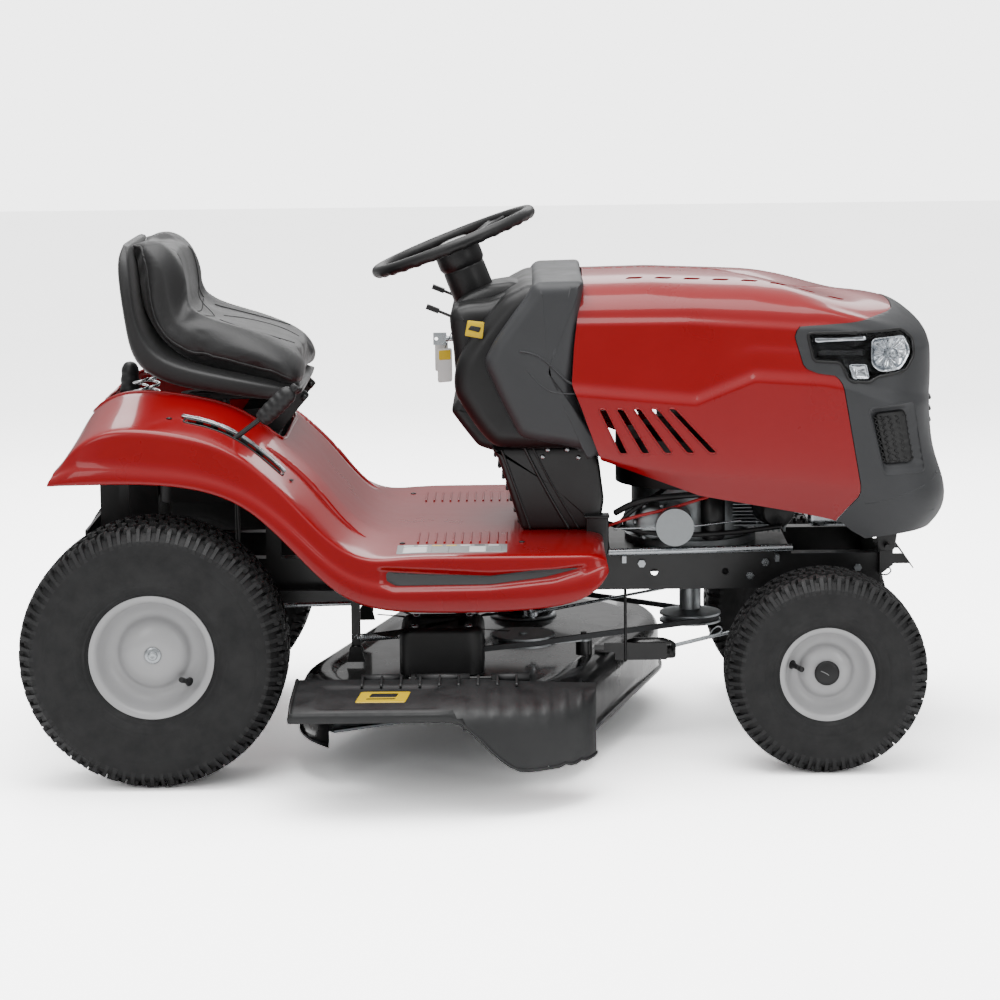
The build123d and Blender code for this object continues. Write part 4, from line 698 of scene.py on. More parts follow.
# the section from the lower edge to the middle line: half width, which line it hangs on, offset from it
sectionNet = [(264, "bottom", 0), (276, "lowCrease", -3), (280, "lowCrease", 4), (281, "lowCrease", 60),
              (281, "midCrease", -30), (281, "midCrease", -3), (281, "midCrease", 1), (271, "midCrease", 17),
              (270, "midCrease", 24), (267, "midCrease", 60), (264, "upCrease", -40), (262, "upCrease", -6),
              (262, "upCrease", -1), (253, "upCrease", 11), (251, "upCrease", 18), (243, "upCrease", 34),
              (222, "roof", -21), (188, "roof", -6), (150, "roof", 2), (100, "roof", 7), (50, "roof", 11),
              (0, "roof", 12)]
noseReach = [1512, 1536, 1540, 1512, 1506, 1505, 1505, 1505, 1506, 1507, 1507, 1506, 1505, 1502, 1499, 1492,
             1474, 1452, 1428, 1392, 1340, 1290]
noseHeight = [446, 474, 520, 585, 650, 680, 690, 706, 716, 740, 772, 790, 797, 808, 816, 830,
              850, 866, 877, 886, 894, 898]


def hoodGrid(inset=0.0, sideColumns=56, noseColumns=34, rows=90):
    # Loops that run from the rear right edge forward, round the nose and back on the left. On the side y
    # = -h(row); round the corner x = s + (N - s) sin(t)^p and y = -h cos(t)^p; the rows are a B-spline of
    # the net.
    lines = {key: np.array(value, float) for key, value in hood.items() if isinstance(value, list)}
    half = np.array([h for h, _, _ in sectionNet], float)
    reach, tall = np.array(noseReach, float), np.array(noseHeight, float)
    start = reach - 175
    power = hood["cornerPower"]
    u = np.linspace(0, 1, sideColumns)
    t = np.linspace(0, math.pi / 2, noseColumns + 1)[1:]
    rearZ = np.array([np.interp(800, *lines[name].T) + off for _, name, off in sectionNet])
    rear = np.interp(rearZ, *np.array(hood["rearLean"]).T)
    xSide = rear[:, None] + (start - rear)[:, None] * u
    xNose = start[:, None] + (reach - start)[:, None] * np.sin(t) ** power
    x = np.concatenate([xSide, xNose], 1)
    y = -half[:, None] * np.concatenate([np.ones(sideColumns), np.cos(t) ** power * (t < math.pi / 2 - 1e-9)])
    z = np.array([np.interp(x[k], *lines[name].T) + off for k, (_, name, off) in enumerate(sectionNet)])
    turn = smooth(0, 1, (x - start[:, None] + 60) / (reach - start + 60)[:, None])
    z = z * (1 - turn) + tall[:, None] * turn
    net = np.stack([x, y, z], -1)
    grid = np.stack([bspline(net[:, k], rows) for k in range(net.shape[1])], 1)
    if inset:
        du, dv = np.gradient(grid, axis=1), np.gradient(grid, axis=0)
        normal = np.cross(du, dv)
        normal /= np.linalg.norm(normal, axis=-1)[..., None] + 1e-9
        side = np.sign(np.sum(normal * (grid - (1150, 0, 650)), -1))
        grid = grid - normal * side[..., None] * inset
        grid[:, -1, 1] = 0
    return grid


hoodOuter = hoodGrid()


def onHood(x, z, out=0.0):
    # Points on the right flank for given x and z: y from the four nearest grid points, weighted by 1/d^2.
    flank = hoodOuter[2:66].reshape(-1, 3)
    x, z = np.atleast_1d(np.asarray(x, float)), np.atleast_1d(np.asarray(z, float))
    d = (flank[None, :, 0] - x[:, None]) ** 2 + (flank[None, :, 2] - z[:, None]) ** 2
    near = np.argsort(d, 1)[:, :4]
    w = 1 / (np.take_along_axis(d, near, 1) + 0.05)
    y = np.sum(w * flank[near, 1], 1) / w.sum(1)
    return np.stack([x, y - out, z], -1)


def hoodSheet(name, inset=0.0, wall=3.6):
    right = hoodGrid(inset)
    left = right[:, ::-1][:, 1:] * (1, -1, 1)
    grid = np.concatenate([right, left], 1)
    rows, columns = grid.shape[:2]
    piece = addMesh(name, grid, gridFaces(rows, columns))
    piece.data.flip_normals() if not facesOut(piece) else None
    thicken(piece, wall)
    return applied(piece)


def facesOut(piece):
    # True where most faces look away from the piece's middle.
    mesh = piece.data
    n, c = np.zeros(len(mesh.polygons) * 3), np.zeros(len(mesh.polygons) * 3)
    mesh.polygons.foreach_get("normal", n)
    mesh.polygons.foreach_get("center", c)
    n, c = n.reshape(-1, 3), c.reshape(-1, 3)
    return np.sum(n * (c - c.mean(0))) > 0


def flankRing(name, outline, radius, material, body, out=0.0, corner=6, count=90):
    # A rounded bead that follows a closed outline on both flanks of the hood.
    line = roundOutline(outline, corner, count)
    path = onHood(line[:, 0], line[:, 1], out)
    path = np.vstack([path, path[:2]])
    grid = tubeGrid(path, radius, 8)[:-1]
    ring = gridPiece(name, grid[:-1], closeRows=True, closeColumns=True)
    return finish(mirror(name, ring), material, body)


cowlRegion = [(1300, 380), (1305, 469), (1352, 522), (1352, 541), (1318, 733), (1306, 752), (1269, 757),
    (1243, 768),
              (1225, 828), (1232, 846), (1337, 852), (1424, 866), (1436, 900), (1620, 900), (1620, 380)]
lampOutline = [(1250, 834), (1262, 780), (1314, 777), (1330, 741), (1371, 738), (1383, 748), (1440, 757),
    (1458, 784),
               (1456, 818), (1434, 836), (1340, 834)]
louvreSlots = [[(849 + 33 * k, 694), (864 + 33 * k, 694), (906 + 43 * k - 0.0, 606),
    (890 + 43 * k, 606)] for k in range(5)]

red = hoodSheet("hood_panel", 0.0, hood["wall"])
cutWith(red, [prism("cut", roundOutline(cowlRegion, 5, 160), -400, 400)])
for slot in louvreSlots:
    cutWith(red, [prism("cut", roundOutline(slot, 5, 40), -400, 400)])
for k in range(8):
    x = 905 + 56 * k
    cutters = [prism("cut", roundOutline([(x, side * 138 - 8), (x + 30, side * 138 - 8),
        (x + 38, side * 138 + 8), (x + 8, side * 138 + 8)]
               if side < 0 else [(x + 8, 130), (x + 38, 130), (x + 30, 146), (x, 146)], 4, 28), 850, 1000,
                       "z")
               for side in (-1, 1)]
    cutWith(red, cutters)
sharpen(red, 35)
finish(red, redPaint, "hood", ["hood_shell"])
for k, slot in enumerate(louvreSlots):
    flankRing(f"louvre_bead_{k + 1}", slot, 1.7, redPaint, "hood", 0.3, 5, 60)
print("hood made")

cowl = hoodSheet("nose_cowl", -1.4, 4.4)
cutWith(cowl, [prism("keep", roundOutline(np.array(cowlRegion) + (1.5, 0), 5, 160), -400, 400)], "INTERSECT")
grillePocket = [(1366, 690), (1458, 698), (1480, 563), (1398, 560)]
for side in (-1, 1):
    low, high = sorted((side * 120, side * 400))
    cutWith(cowl, [prism("cut", roundOutline(lampOutline, 7, 90), low, high),
                   prism("cut", roundOutline(grillePocket, 10, 60), low, high)])
sharpen(cowl, 35)
finish(cowl, greyPlastic, "hood", ["hood_cowl"])


def pocket(name, outline, floorOutline, depth, material, body, corner=8, count=90, out=0.0, slope=(0, 0)):
    # A recess in the flank: walls from the rim outline to the floor outline, depth mm inside, and its
    # floor.
    rim, base = roundOutline(outline, corner, count), roundOutline(floorOutline, corner, count)
    start = np.argmin(np.linalg.norm(base - rim[0], axis=1))
    base = np.roll(base, -start, 0)
    edge = onHood(rim[:, 0], rim[:, 1], out)
    foot = onHood(base[:, 0], base[:, 1]) + (slope[0], depth, slope[1])
    middle = foot.mean(0)
    loops = [edge + (edge - edge.mean(0)) * 0.03, edge, edge * 0.5 + foot * 0.5, foot,
        middle + (foot - middle) * 0.6,
             middle + (foot - middle) * 0.25, middle + (foot - middle) * 0.02]
    piece = addMesh(name, np.array(loops), gridFaces(len(loops), count, closeColumns=True))
    thicken(piece, 1.2, 0.0)
    piece = applied(piece)
    return finish(mirror(name, piece), material, body)


pocket("lamp_housing", lampOutline, (np.array(lampOutline) - (1365, 795)) * 0.92 + (1358, 795), 46,
    blackPlastic, "hood", 7, 90, -2.0)
flankRing("lamp_bezel", lampOutline, 3.2, blackPlastic, "hood", 0.4, 9, 120)


def flankPatch(name, outline, depthRim, depthMiddle, material, corner=6, count=70, facets=0):
    # A domed patch behind the lens: rings shrink to the middle while the depth goes from rim to middle.
    rim = roundOutline(outline, corner, count)
    middle = rim.mean(0)
    loops = []
    for s in np.linspace(1, 0.02, 12):
        ring = middle + (rim - middle) * s
        p = onHood(ring[:, 0], ring[:, 1])
        ripple = 2.2 * np.sin(np.arctan2(ring[:, 1] - middle[1],
            ring[:, 0] - middle[0]) * facets) * (s * (1 - s) * 4) if facets else 0
        p[:, 1] += depthRim + (depthMiddle - depthRim) * math.sqrt(max(0, 1 - s * s)) + ripple
        loops.append(p)
    piece = addMesh(name, np.array(loops), gridFaces(len(loops), count, closeColumns=True))
    thicken(piece, 1.0, 0.0)
    return finish(mirror(name, applied(piece)), material, "hood")


lampParts = dict(bowl=[(1374, 820), (1440, 824), (1452, 792), (1432, 760), (1392, 756), (1374, 770)],
                 lower=[(1330, 772), (1364, 772), (1370, 744), (1338, 745)],
                 upper=[(1262, 824), (1366, 826), (1366, 818), (1264, 814)],
                 bar=[(1272, 800), (1362, 800), (1362, 788), (1270, 788)])
flankPatch("lamp_reflector_bowl", lampParts["bowl"], 10, 34, reflectorMetal, 10, 80, 9)
flankPatch("lamp_reflector_lower", lampParts["lower"], 8, 16, reflectorMetal, 5, 50)
flankPatch("lamp_day_bar", lampParts["upper"], 12, 9, reflectorMetal, 3, 50)
flankPatch("lamp_middle_bar", lampParts["bar"], 18, 12, blackPlastic, 4, 50)
# lamp bulb cover: small dome in the bowl
bulbAt = onHood([1414], [790])[0] + (0, 26, 0)
bulb = lathe("bulb_cap", [(0, 20), (6, 18.5), (10, 14), (11, 6), (11, -6), (0, -6)], bulbAt, (0.25, -1, 0),
    sides=32)
finish(mirror("bulb_cap", bulb), zincSteel, "hood")

lens = hoodSheet("lamp_lens", 0.6, 2.0)
cutWith(lens, [prism("keep", roundOutline((np.array(lampOutline) - (1358, 795)) * 0.985 + (1358, 795), 7,
    90), -400, 400)], "INTERSECT")
cutWith(lens, [boxPiece("cut", (1200, -130, 650), (1600, 130, 900), 2)])
finish(lens, lensClear, "hood", ["headlight_lenses"])

# side grilles: a sloping pocket with a mesh of chevrons in its floor
grilleFloor = [(1380, 680), (1440, 683), (1457, 580), (1402, 578)]
pocket("grille_pocket", grillePocket, grilleFloor, 17, greyPlastic, "hood", 9, 60, 1.0, (-5, 0))
# painted shade: a black sheet over the pocket floor behind the chevrons stands for the dark opening behind the mesh
flankPatch("grille_painted_shade_sheet", (np.array(grilleFloor) - (1420, 630)) * 0.97 + (1420, 630), 14.5, 14.0, inkAndPaintedShadeBlack,
    8, 60)
chevrons = []
for k in range(5):
    zig = np.arange(0, 17)
    zz = 672 - zig * 5.6
    share = (672 - zz) / 95
    xx = 1384 + 14.5 * k + share * 19 + np.where(zig % 2 == 0, -3.6, 3.6)
    keep = zz > 582
    p = onHood(xx[keep], zz[keep]) + (-4, 12.0, 0)
    chevrons.append(tube("chevron", p, 1.5, 6, len(p) * 3, straight=True))
for k in range(8):
    z = 668 - 12 * k
    xs = np.linspace(1381 + (680 - z) * 0.2, 1446 + (680 - z) * 0.13, 7)
    p = onHood(xs, np.full(7, z) + np.where(np.arange(7) % 2 == 0, 3.0, -3.0)) + (-4, 13.0, 0)
    chevrons.append(tube("chevron", p, 1.2, 6, 20, straight=True))
finish(mirror("grille_chevrons", join("grille_chevrons", chevrons)), blackPlastic, "hood")


def bead(name, points, radius, material, body, out=0.0, both=True, sides=8):
    # A moulded rib that follows points (x, z) on the flank.
    line = bspline(points, 60)
    ridge = tube(name, onHood(line[:, 0], line[:, 1], out), radius, sides, 60, straight=True)
    return finish(mirror(name, ridge) if both else ridge, material, body)


bead("bumper_edge", [(1362, 505), (1400, 510), (1450, 524), (1500, 545), (1512, 553)], 2.6, greyPlastic,
    "hood", -0.6)
bead("bumper_lower_edge", [(1375, 474), (1420, 478), (1470, 480), (1505, 484)], 1.8, greyPlastic, "hood",
    -0.4)
# front grille slots across the nose
slats = []
for k in range(5):
    z = 600 + 22 * k
    y = np.linspace(-118, 118, 40)
    slats.append(tube("slat", np.stack([1509 - 9 * (np.abs(y) / 150) ** 2.5 + 0 * y, y, z + 0 * y], -1), 3.4,
        8, 40, straight=True))
finish(join("nose_slats", slats), blackPlastic, "hood")
straps = []
for side in (-1, 1):
    straps.append(loaf("strap", [(1396, 398), (1428, 398), (1438, 470), (1386, 470)], 3.2, 1.5, "y",
        side * 200, 10, 60))
strapPiece = join("hood_hinge_straps", straps)
finish(strapPiece, blackPaint, "hood")
print("nose made")

# console, dash panel and pedestal
consoleSide = [(713, 907), (690, 878), (650, 822), (633, 788), (634, 772), (660, 712), (697, 638),
    (722, 629), (790, 618),
               (826, 607), (857, 592), (824, 668), (804, 722), (800, 742), (808, 822), (816, 890),
               (826, 938), (730, 936)]
cheekSide = [(672, 906), (640, 870), (603, 822), (580, 785), (571, 750), (573, 716), (588, 690), (619, 642),
    (648, 611),
             (719, 606), (828, 608), (850, 600), (806, 730), (806, 900), (720, 930)]
dashSide = [(690, 915), (672, 903), (640, 890), (600, 888), (574, 880), (563, 864), (564, 845), (570, 800),
    (573, 752),
            (590, 700), (640, 630), (700, 625), (760, 700), (760, 900)]
finish(loaf("console_side_panels", consoleSide, 266, 26, "y", 0, 14, 200, 1.5, 8), greyPlastic, "chassis",
                 ["dash_console"])
finish(loaf("console_cheeks", cheekSide, 226, 34, "y", 0, 18, 180, 2.0, 9), blackPlastic, "chassis")
finish(loaf("dash_face", dashSide, 176, 30, "y", 0, 14, 180, 1.5, 8), blackPlastic, "chassis",
    ["dash_panel"])


def onConsole(points, half, out=0.0):
    p = np.asarray(points, float)
    return np.stack([p[:, 0], np.full(len(p), -half - out), p[:, 1]], -1)


consoleRidge = tube("ridge", onConsole([(700, 805), (740, 800), (790, 741), (815, 738)], 267), 2.2, 8, 40)
consoleCrease = tube("ridge", onConsole([(712, 770), (740, 735), (765, 722), (806, 722)], 266.4), 1.6, 8, 40)
finish(mirror("console_creases", join("console_creases", [consoleRidge, consoleCrease])), greyPlastic,
    "chassis")
# knee box under the dash, bulging towards the driver
finish(loaf("knee_box", [(578, 700), (562, 676), (588, 640), (616, 604), (660, 590), (700, 640), (640, 740)],
    150, 16, "y", 0, 10, 120),
       blackPlastic, "chassis")
finish(loaf("dash_hump", [(572, 880), (600, 899), (640, 915), (690, 922), (720, 905), (690, 860),
    (600, 850)], 78, 24, "y", 0, 14, 120),
       blackPlastic, "chassis")

towerSide = [(640, 606), (656, 580), (699, 441), (853, 441), (862, 500), (853, 575), (835, 606)]
finish(loaf("pedestal_tower", towerSide, 168, 9, "y", 0, 8, 160, 0.0, 5), blackPaint, "chassis",
    ["pedestal"])
seams = []
for line, radius in (([(706, 606), (747, 520), (792, 443)], 3.4), ([(722, 606), (764, 520), (812, 443)], 2.2),
                     ([(662, 600), (690, 520), (716, 443)], 3.0)):
    seams.append(tube("seam", onConsole(line, 168.5), radius, 8, 40))
for k in range(7):
    z = 455 + 22 * k
    x = np.interp(z, [441, 606], [697, 640])
    y = np.linspace(-150, 150, 30)
    seams.append(tube("rib", np.stack([x + 3 + 0 * y, y, z + 0 * y], -1), 4.0, 8, 30, straight=True))
finish(mirror("pedestal_ribs", join("pedestal_ribs", seams)), blackPaint, "chassis")
# boxed step of the tower's foot at the right, with its folded top
finish(join("tower_foot", [boxPiece("foot", (826, -186, 392), (870, -150, 470), 3, "y"),
                           boxPiece("foot", (822, -192, 466), (872, -150, 471), 1.5, "y")]), blackPaint,
                           "chassis")
# panel screws and the steering column's boot
screws = []
for x, z in ((752, 612), (790, 612), (742, 598), (812, 596)):
    screws.append(lathe("screw", [(0, 3), (3.2, 2.6), (4.6, 1.4), (5, 0), (0, 0)], (x, -169, z - 12),
        (0, -1, 0), sides=16))
finish(mirror("tower_screws", join("tower_screws", screws)), zincSteel, "chassis")
leanAngle = math.radians(21)
columnDown = np.array([math.sin(leanAngle), 0, -math.cos(leanAngle)])
wheelCentre = np.array([569.0, 0, 997.0])
collar = lathe("column_collar", [(16, 130), (41, 128), (43, 124), (42.5, 60), (41, 52), (30, 50), (14, 50),
    (14, 120)],
               wheelCentre, columnDown, sides=72)
finish(collar, blackPlastic, "chassis", ["column_tube"])
finish(lathe("column_lower_tube", [(0, 130), (16, 130), (16, 545), (0, 545)], wheelCentre, columnDown,
    sides=32), blackPaint, "chassis")
print("console and pedestal made")

# fender
# one station per row, from the tail forward: for each, (x, z) of the lower lip, the crease above it, the
# outer ridge, the middle of the slope, the crown beside the seat and the middle line
fenderStations = [
    [(-190, 578), (-184, 592), (-180, 600), (-178, 606), (-178, 606), (-178, 606)],
    [(-184, 578), (-174, 596), (-166, 612), (-163, 624), (-163, 630), (-163, 630)],
    [(-172, 580), (-160, 603), (-147, 640), (-144, 655), (-146, 666), (-146, 668)],
    [(-150, 581), (-140, 608), (-118, 664), (-118, 682), (-122, 700), (-122, 703)],
    [(-110, 582), (-100, 608), (-80, 680), (-78, 700), (-80, 724), (-80, 728)],
    [(-60, 583), (-50, 606), (-35, 683), (-32, 704), (-34, 728), (-34, 731)],
    [(0, 582), (0, 602), (30, 677), (30, 700), (30, 724), (30, 727)],
    [(60, 577), (60, 597), (99, 664), (96, 690), (92, 712), (92, 715)],
    [(115, 566), (115, 586), (145, 646), (144, 672), (150, 694), (150, 696)],
    [(165, 546), (170, 566), (185, 622), (188, 644), (204, 656), (204, 658)],
    [(205, 518), (213, 540), (222, 590), (232, 606), (252, 612), (252, 614)],
    [(247, 478), (260, 500), (268, 545), (284, 556), (302, 566), (302, 567)],
    [(285, 436), (300, 460), (312, 494), (330, 502), (346, 508), (346, 509)],
    [(325, 394), (340, 420), (360, 450), (374, 458), (388, 463), (388, 464)],
    [(366, 360), (384, 392), (410, 430), (420, 440), (430, 444), (430, 444)],
    [(420, 340), (434, 378), (462, 434), (466, 439), (470, 440), (470, 440)],
    [(480, 333), (485, 374), (508, 437), (510, 440), (512, 440), (512, 440)],
    [(580, 331), (580, 374), (590, 437), (590, 440), (590, 440), (590, 440)],
    [(680, 333), (680, 376), (680, 437), (680, 440), (680, 440), (680, 440)],
    [(760, 340), (758, 382), (758, 437), (758, 440), (758, 440), (758, 440)],
    [(815, 354), (806, 392), (806, 437), (806, 440), (806, 440), (806, 440)],
    [(846, 376), (838, 406), (836, 436), (836, 440), (836, 440), (836, 440)],
    [(862, 398), (858, 414), (854, 428), (852, 434), (852, 436), (852, 436)],
    [(864, 402), (862, 414), (860, 424), (858, 428), (858, 430), (858, 430)]]
fenderWidths = np.array([447, 443, 434, 330, 214, 0.0])


def fenderNet():
    # Net from the right lip to the left lip: each station's points with their half widths, creases
    # doubled.
    net = np.array(fenderStations, float)
    half = np.broadcast_to(fenderWidths, net.shape[:2]).copy()
    # the tail and the nose draw in a little, the seat deck stays wide
    tail = smooth(4, 0, np.arange(len(net)))[:, None]
    nose = smooth(len(net) - 4, len(net) - 1, np.arange(len(net)))[:, None]
    half = half * (1 - 0.035 * tail) - nose * np.array([26, 24, 18, 6, 0, 0])
    points = np.stack([net[..., 0], -half, net[..., 1]], -1)
    lip, crease, ridge, slope, crown, middle = [points[:, k] for k in range(6)]
    rolled = lip + (0, 9, -1.0)
    side = crease + (ridge - crease) * 0.12 + (0, 3.0, 0)
    upper = crease + (ridge - crease) * 0.80 + (0, 1, 0)
    over = ridge + (slope - ridge) * 0.16 + (0, 0, 2.0)
    far = slope + (crown - slope) * 0.5
    inner = crown + (middle - crown) * 0.12
    return np.stack([rolled, lip, lip + (0, -1.0, 5.0), crease + (0, -3.0, 0), side, (side + upper) / 2,
        upper, ridge,
                     over, slope, far, crown, inner, middle + (0, -100, 0), middle + (0, -34, 0)], 1)


def fenderGrid(rows=230, columns=110):
    net = fenderNet()
    across = np.stack([bspline(line, columns) for line in net])
    right = np.stack([bspline(across[:, k], rows) for k in range(columns)], 1)
    # pressed recess for the grit strip on the footboard's side
    x, z = right[..., 0], right[..., 2]
    low = np.interp(x, [437, 455, 640, 760, 815], [386, 377, 379, 392, 408])
    high = np.interp(x, [437, 640, 760, 815], [414, 402, 408, 416])
    flank = smooth(-415, -430, right[..., 1])
    inside = smooth(low - 6, low + 3, z) * smooth(high + 6, high - 3, z) * smooth(428, 442, x) * smooth(824,
        806, x)
    right[..., 1] += 6.0 * inside * flank
    left = right[:, ::-1] * (1, -1, 1)
    return np.concatenate([right, left], 1)


fenderSurface = fenderGrid()
rows, columns = fenderSurface.shape[:2]
fenderPiece = addMesh("fender_pressing", fenderSurface, gridFaces(rows, columns))
outwards(fenderPiece, 1e-7)
if not facesOut(fenderPiece):
    fenderPiece.data.flip_normals()
thicken(fenderPiece, 2.6)
applied(fenderPiece)
seatOpening = [(-128, -200), (60, -208), (232, -196), (238, -150), (238, 150), (232, 196), (60, 208),
    (-128, 200), (-136, 150), (-136, -150)]
slotY = -353.0
cutWith(fenderPiece, [prism("cut", roundOutline(seatOpening, 30, 120), 560, 900, "z"),
                      prism("cut", roundOutline([(66, slotY - 9), (244, slotY - 9), (244, slotY + 9),
                      (66, slotY + 9)], 6, 60), 480, 900, "z"),
                      prism("cut", roundOutline([(772, 220), (842, 220), (842, 244), (772, 244)], 5, 40),
                      425, 460, "z")])
notches = [prism("cut", [(x, slotY + 5), (x + 14, slotY + 5), (x + 14, slotY + 18), (x, slotY + 18)], 480,
    900, "z")
           for x in (84, 112, 140, 168, 196)]
cutWith(fenderPiece, notches)
sharpen(fenderPiece, 38)
finish(fenderPiece, redPaint, "chassis", ["fender"])


def onFender(x, y):
    # Height of the fender at x, y from the four nearest grid points.
    top = fenderSurface[:, 60:160].reshape(-1, 3)
    x, y = np.atleast_1d(np.asarray(x, float)), np.atleast_1d(np.asarray(y, float))
    d = (top[None, :, 0] - x[:, None]) ** 2 + (top[None, :, 1] - y[:, None]) ** 2
    near = np.argsort(d, 1)[:, :4]
    w = 1 / (np.take_along_axis(d, near, 1) + 0.05)
    return np.sum(w * top[near, 2], 1) / w.sum(1)


# rolled rim of the opening round the seat springs
rim = roundOutline(seatOpening, 30, 160)
rimPath = np.stack([rim[:, 0], rim[:, 1], onFender(rim[:, 0], rim[:, 1] * 1.04) + 1.0], -1)
rimGrid = tubeGrid(np.vstack([rimPath, rimPath[:2]]), 3.4, 10)[:-2]
finish(gridPiece("opening_rim", rimGrid, closeRows=True, closeColumns=True), redPaint, "chassis")
slotRim = roundOutline([(62, slotY - 11), (248, slotY - 11), (248, slotY + 11), (62, slotY + 11)], 8, 90)
slotPath = np.stack([slotRim[:, 0], slotRim[:, 1], onFender(slotRim[:, 0], slotRim[:, 1]) + 0.2], -1)
finish(gridPiece("lever_slot_edge", tubeGrid(np.vstack([slotPath, slotPath[:2]]), 2.0, 8)[:-2],
    closeRows=True, closeColumns=True),
       blackPaint, "chassis")
# guide plate beside the slot
plateOutline = [(56, -341), (252, -341), (252, -330), (56, -330)]
guide = loaf("lever_guide_plate", plateOutline, 1.2, 0.6, "z", 0, 2, 80)
co = np.zeros(len(guide.data.vertices) * 3)
guide.data.vertices.foreach_get("co", co)
co = co.reshape(-1, 3)
co[:, 2] += (onFender((co[:, 0] - origin[0]) * 1000, (co[:, 1] - origin[1]) * 1000) + 3.2) / 1000
guide.data.vertices.foreach_set("co", co.ravel())
finish(guide, zincSteel, "chassis")


def fenderScrew(name, x, y, radius=6.0):
    # A dished screw head on the fender.
    z = onFender([x], [y])[0]
    head = lathe(name, [(0, 1.6), (radius * 0.35, 1.2), (radius * 0.5, 2.6), (radius * 0.85, 2.0),
        (radius, 0), (0, -0.5)],
                 (x, y, z), (0.0, 0.0, 1.0), sides=20)
    return head


heads = [fenderScrew("head", x, y) for x, y in ((34, -353), (262, -348), (34, 353), (262, 353), (470, -300),
    (470, 300),
                                                (700, -300), (700, 300))]
finish(join("fender_screws", heads), blackPaint, "chassis")

# grit strips in the recesses, floor label, ribbed foot mats
stripSide = [(444, 409), (444, 392), (462, 383), (640, 384), (740, 396), (806, 412), (806, 414), (720, 410),
    (640, 400), (500, 405)]


def flankOfFender(x, z):
    # Side of the fender at x, z: y from the nearest points of its outer part.
    side = fenderSurface[:, :70].reshape(-1, 3)
    d = (side[None, :, 0] - x[:, None]) ** 2 + (side[None, :, 2] - z[:, None]) ** 2
    near = np.argsort(d, 1)[:, :4]
    w = 1 / (np.take_along_axis(d, near, 1) + 0.05)
    return np.sum(w * side[near, 1], 1) / w.sum(1)


def sticker(name, outline, lay, material, body="chassis", lift=0.5, corner=3, count=60, both=False, rings=8):
    # A thin sticker laid on a surface: rings shrink to its middle, each point lifted off the surface.
    rimLine = roundOutline(outline, corner, count)
    middle = rimLine.mean(0)
    loops = [lay(middle + (rimLine - middle) * s, 0.1 if s == 1 else lift) for s in np.r_[1.0,
        np.linspace(0.992, 0.02, rings)]]
    piece = addMesh(name, np.array(loops), gridFaces(len(loops), count, closeColumns=True))
    outwards(piece, 1e-7)
    return finish(mirror(name, piece) if both else piece, material, body)


def layOnFlank(points, lift):
    y = flankOfFender(points[:, 0], points[:, 1])
    return np.stack([points[:, 0], y - lift, points[:, 1]], -1)


def layOnFloor(points, lift):
    return np.stack([points[:, 0], points[:, 1], onFender(points[:, 0], points[:, 1]) + lift], -1)


sticker("side_grit_strip", stripSide, layOnFlank, stripGrit, both=True, lift=0.9, corner=4, count=120,
    rings=14)
sticker("floor_label", [(462, -402), (672, -402), (672, -318), (462, -318)], layOnFloor, greyLabel, lift=0.7,
    corner=4)
for k, (x0, x1) in enumerate(((474, 520), (528, 562), (600, 632), (640, 662))):
    sticker(f"floor_label_panel_{k + 1}", [(x0, -396), (x1, -396), (x1, -342), (x0, -342)], layOnFloor,
            (whiteLabel, greyLabel, whiteLabel, greyLabel)[k], lift=1.0, corner=2, count=40)
for k in range(7):
    x = 474 + 27 * k
    sticker(f"floor_label_line_{k + 1}", [(x, -334), (x + 20, -334), (x + 20, -326), (x, -326)], layOnFloor,
            (whiteLabel, whiteLabel, yellowLabel, yellowLabel, whiteLabel, inkAndPaintedShadeBlack, whiteLabel)[k],
            lift=1.0, corner=1.5, count=30)
mats = []
for k in range(11):
    x = 500 + 17 * k
    y = np.linspace(196, 300, 14)
    mats.append(tube("rib", np.stack([x + 0 * y, y, 441.0 + 0 * y], -1), 2.2, 8, 14, straight=True))
    mats.append(tube("rib", np.stack([x + 0 * y, -y, 441.0 + 0 * y], -1), 2.2, 8, 14, straight=True))
finish(join("floor_ribs", mats), redPaint, "chassis")
# raised knee rib each side where the slope meets the footboard
for side in (-1, 1):
    ribLine = bspline([(206, 300), (222, 290), (262, 283), (300, 284), (352, 287), (398, 292)], 60)
    z = onFender(ribLine[:, 0], side * ribLine[:, 1])
    path = np.stack([ribLine[:, 0], side * ribLine[:, 1], z - 5.0], -1)
    radii = 11 * np.sin(np.linspace(0.12, math.pi - 0.25, 60)) ** 0.5
    finish(gridPiece(f"knee_rib_{'right' if side < 0 else 'left'}", tubeGrid(path, radii, 16),
        closeColumns=True, capEnds=True),
           redPaint, "chassis")
print("fender made")

# seat
seat = dict(top=[(-40, 1018), (-16, 1019), (6, 1006), (24, 984), (34, 948), (36, 908), (40, 878), (62, 856),
    (106, 842),
                 (173, 824), (231, 806), (268, 788), (286, 764)],
            under=[(-58, 1006), (-50, 1000), (-40, 975), (-36, 948), (-34, 908), (-26, 858), (4, 806),
            (60, 782),
                   (140, 764), (200, 752), (246, 738), (270, 730), (279, 734)],
            halves=[120, 160, 178, 190, 197, 203, 210, 218, 222, 224, 224, 214, 176],
            fill=0.8, voxel=5.0, cap=14.0)


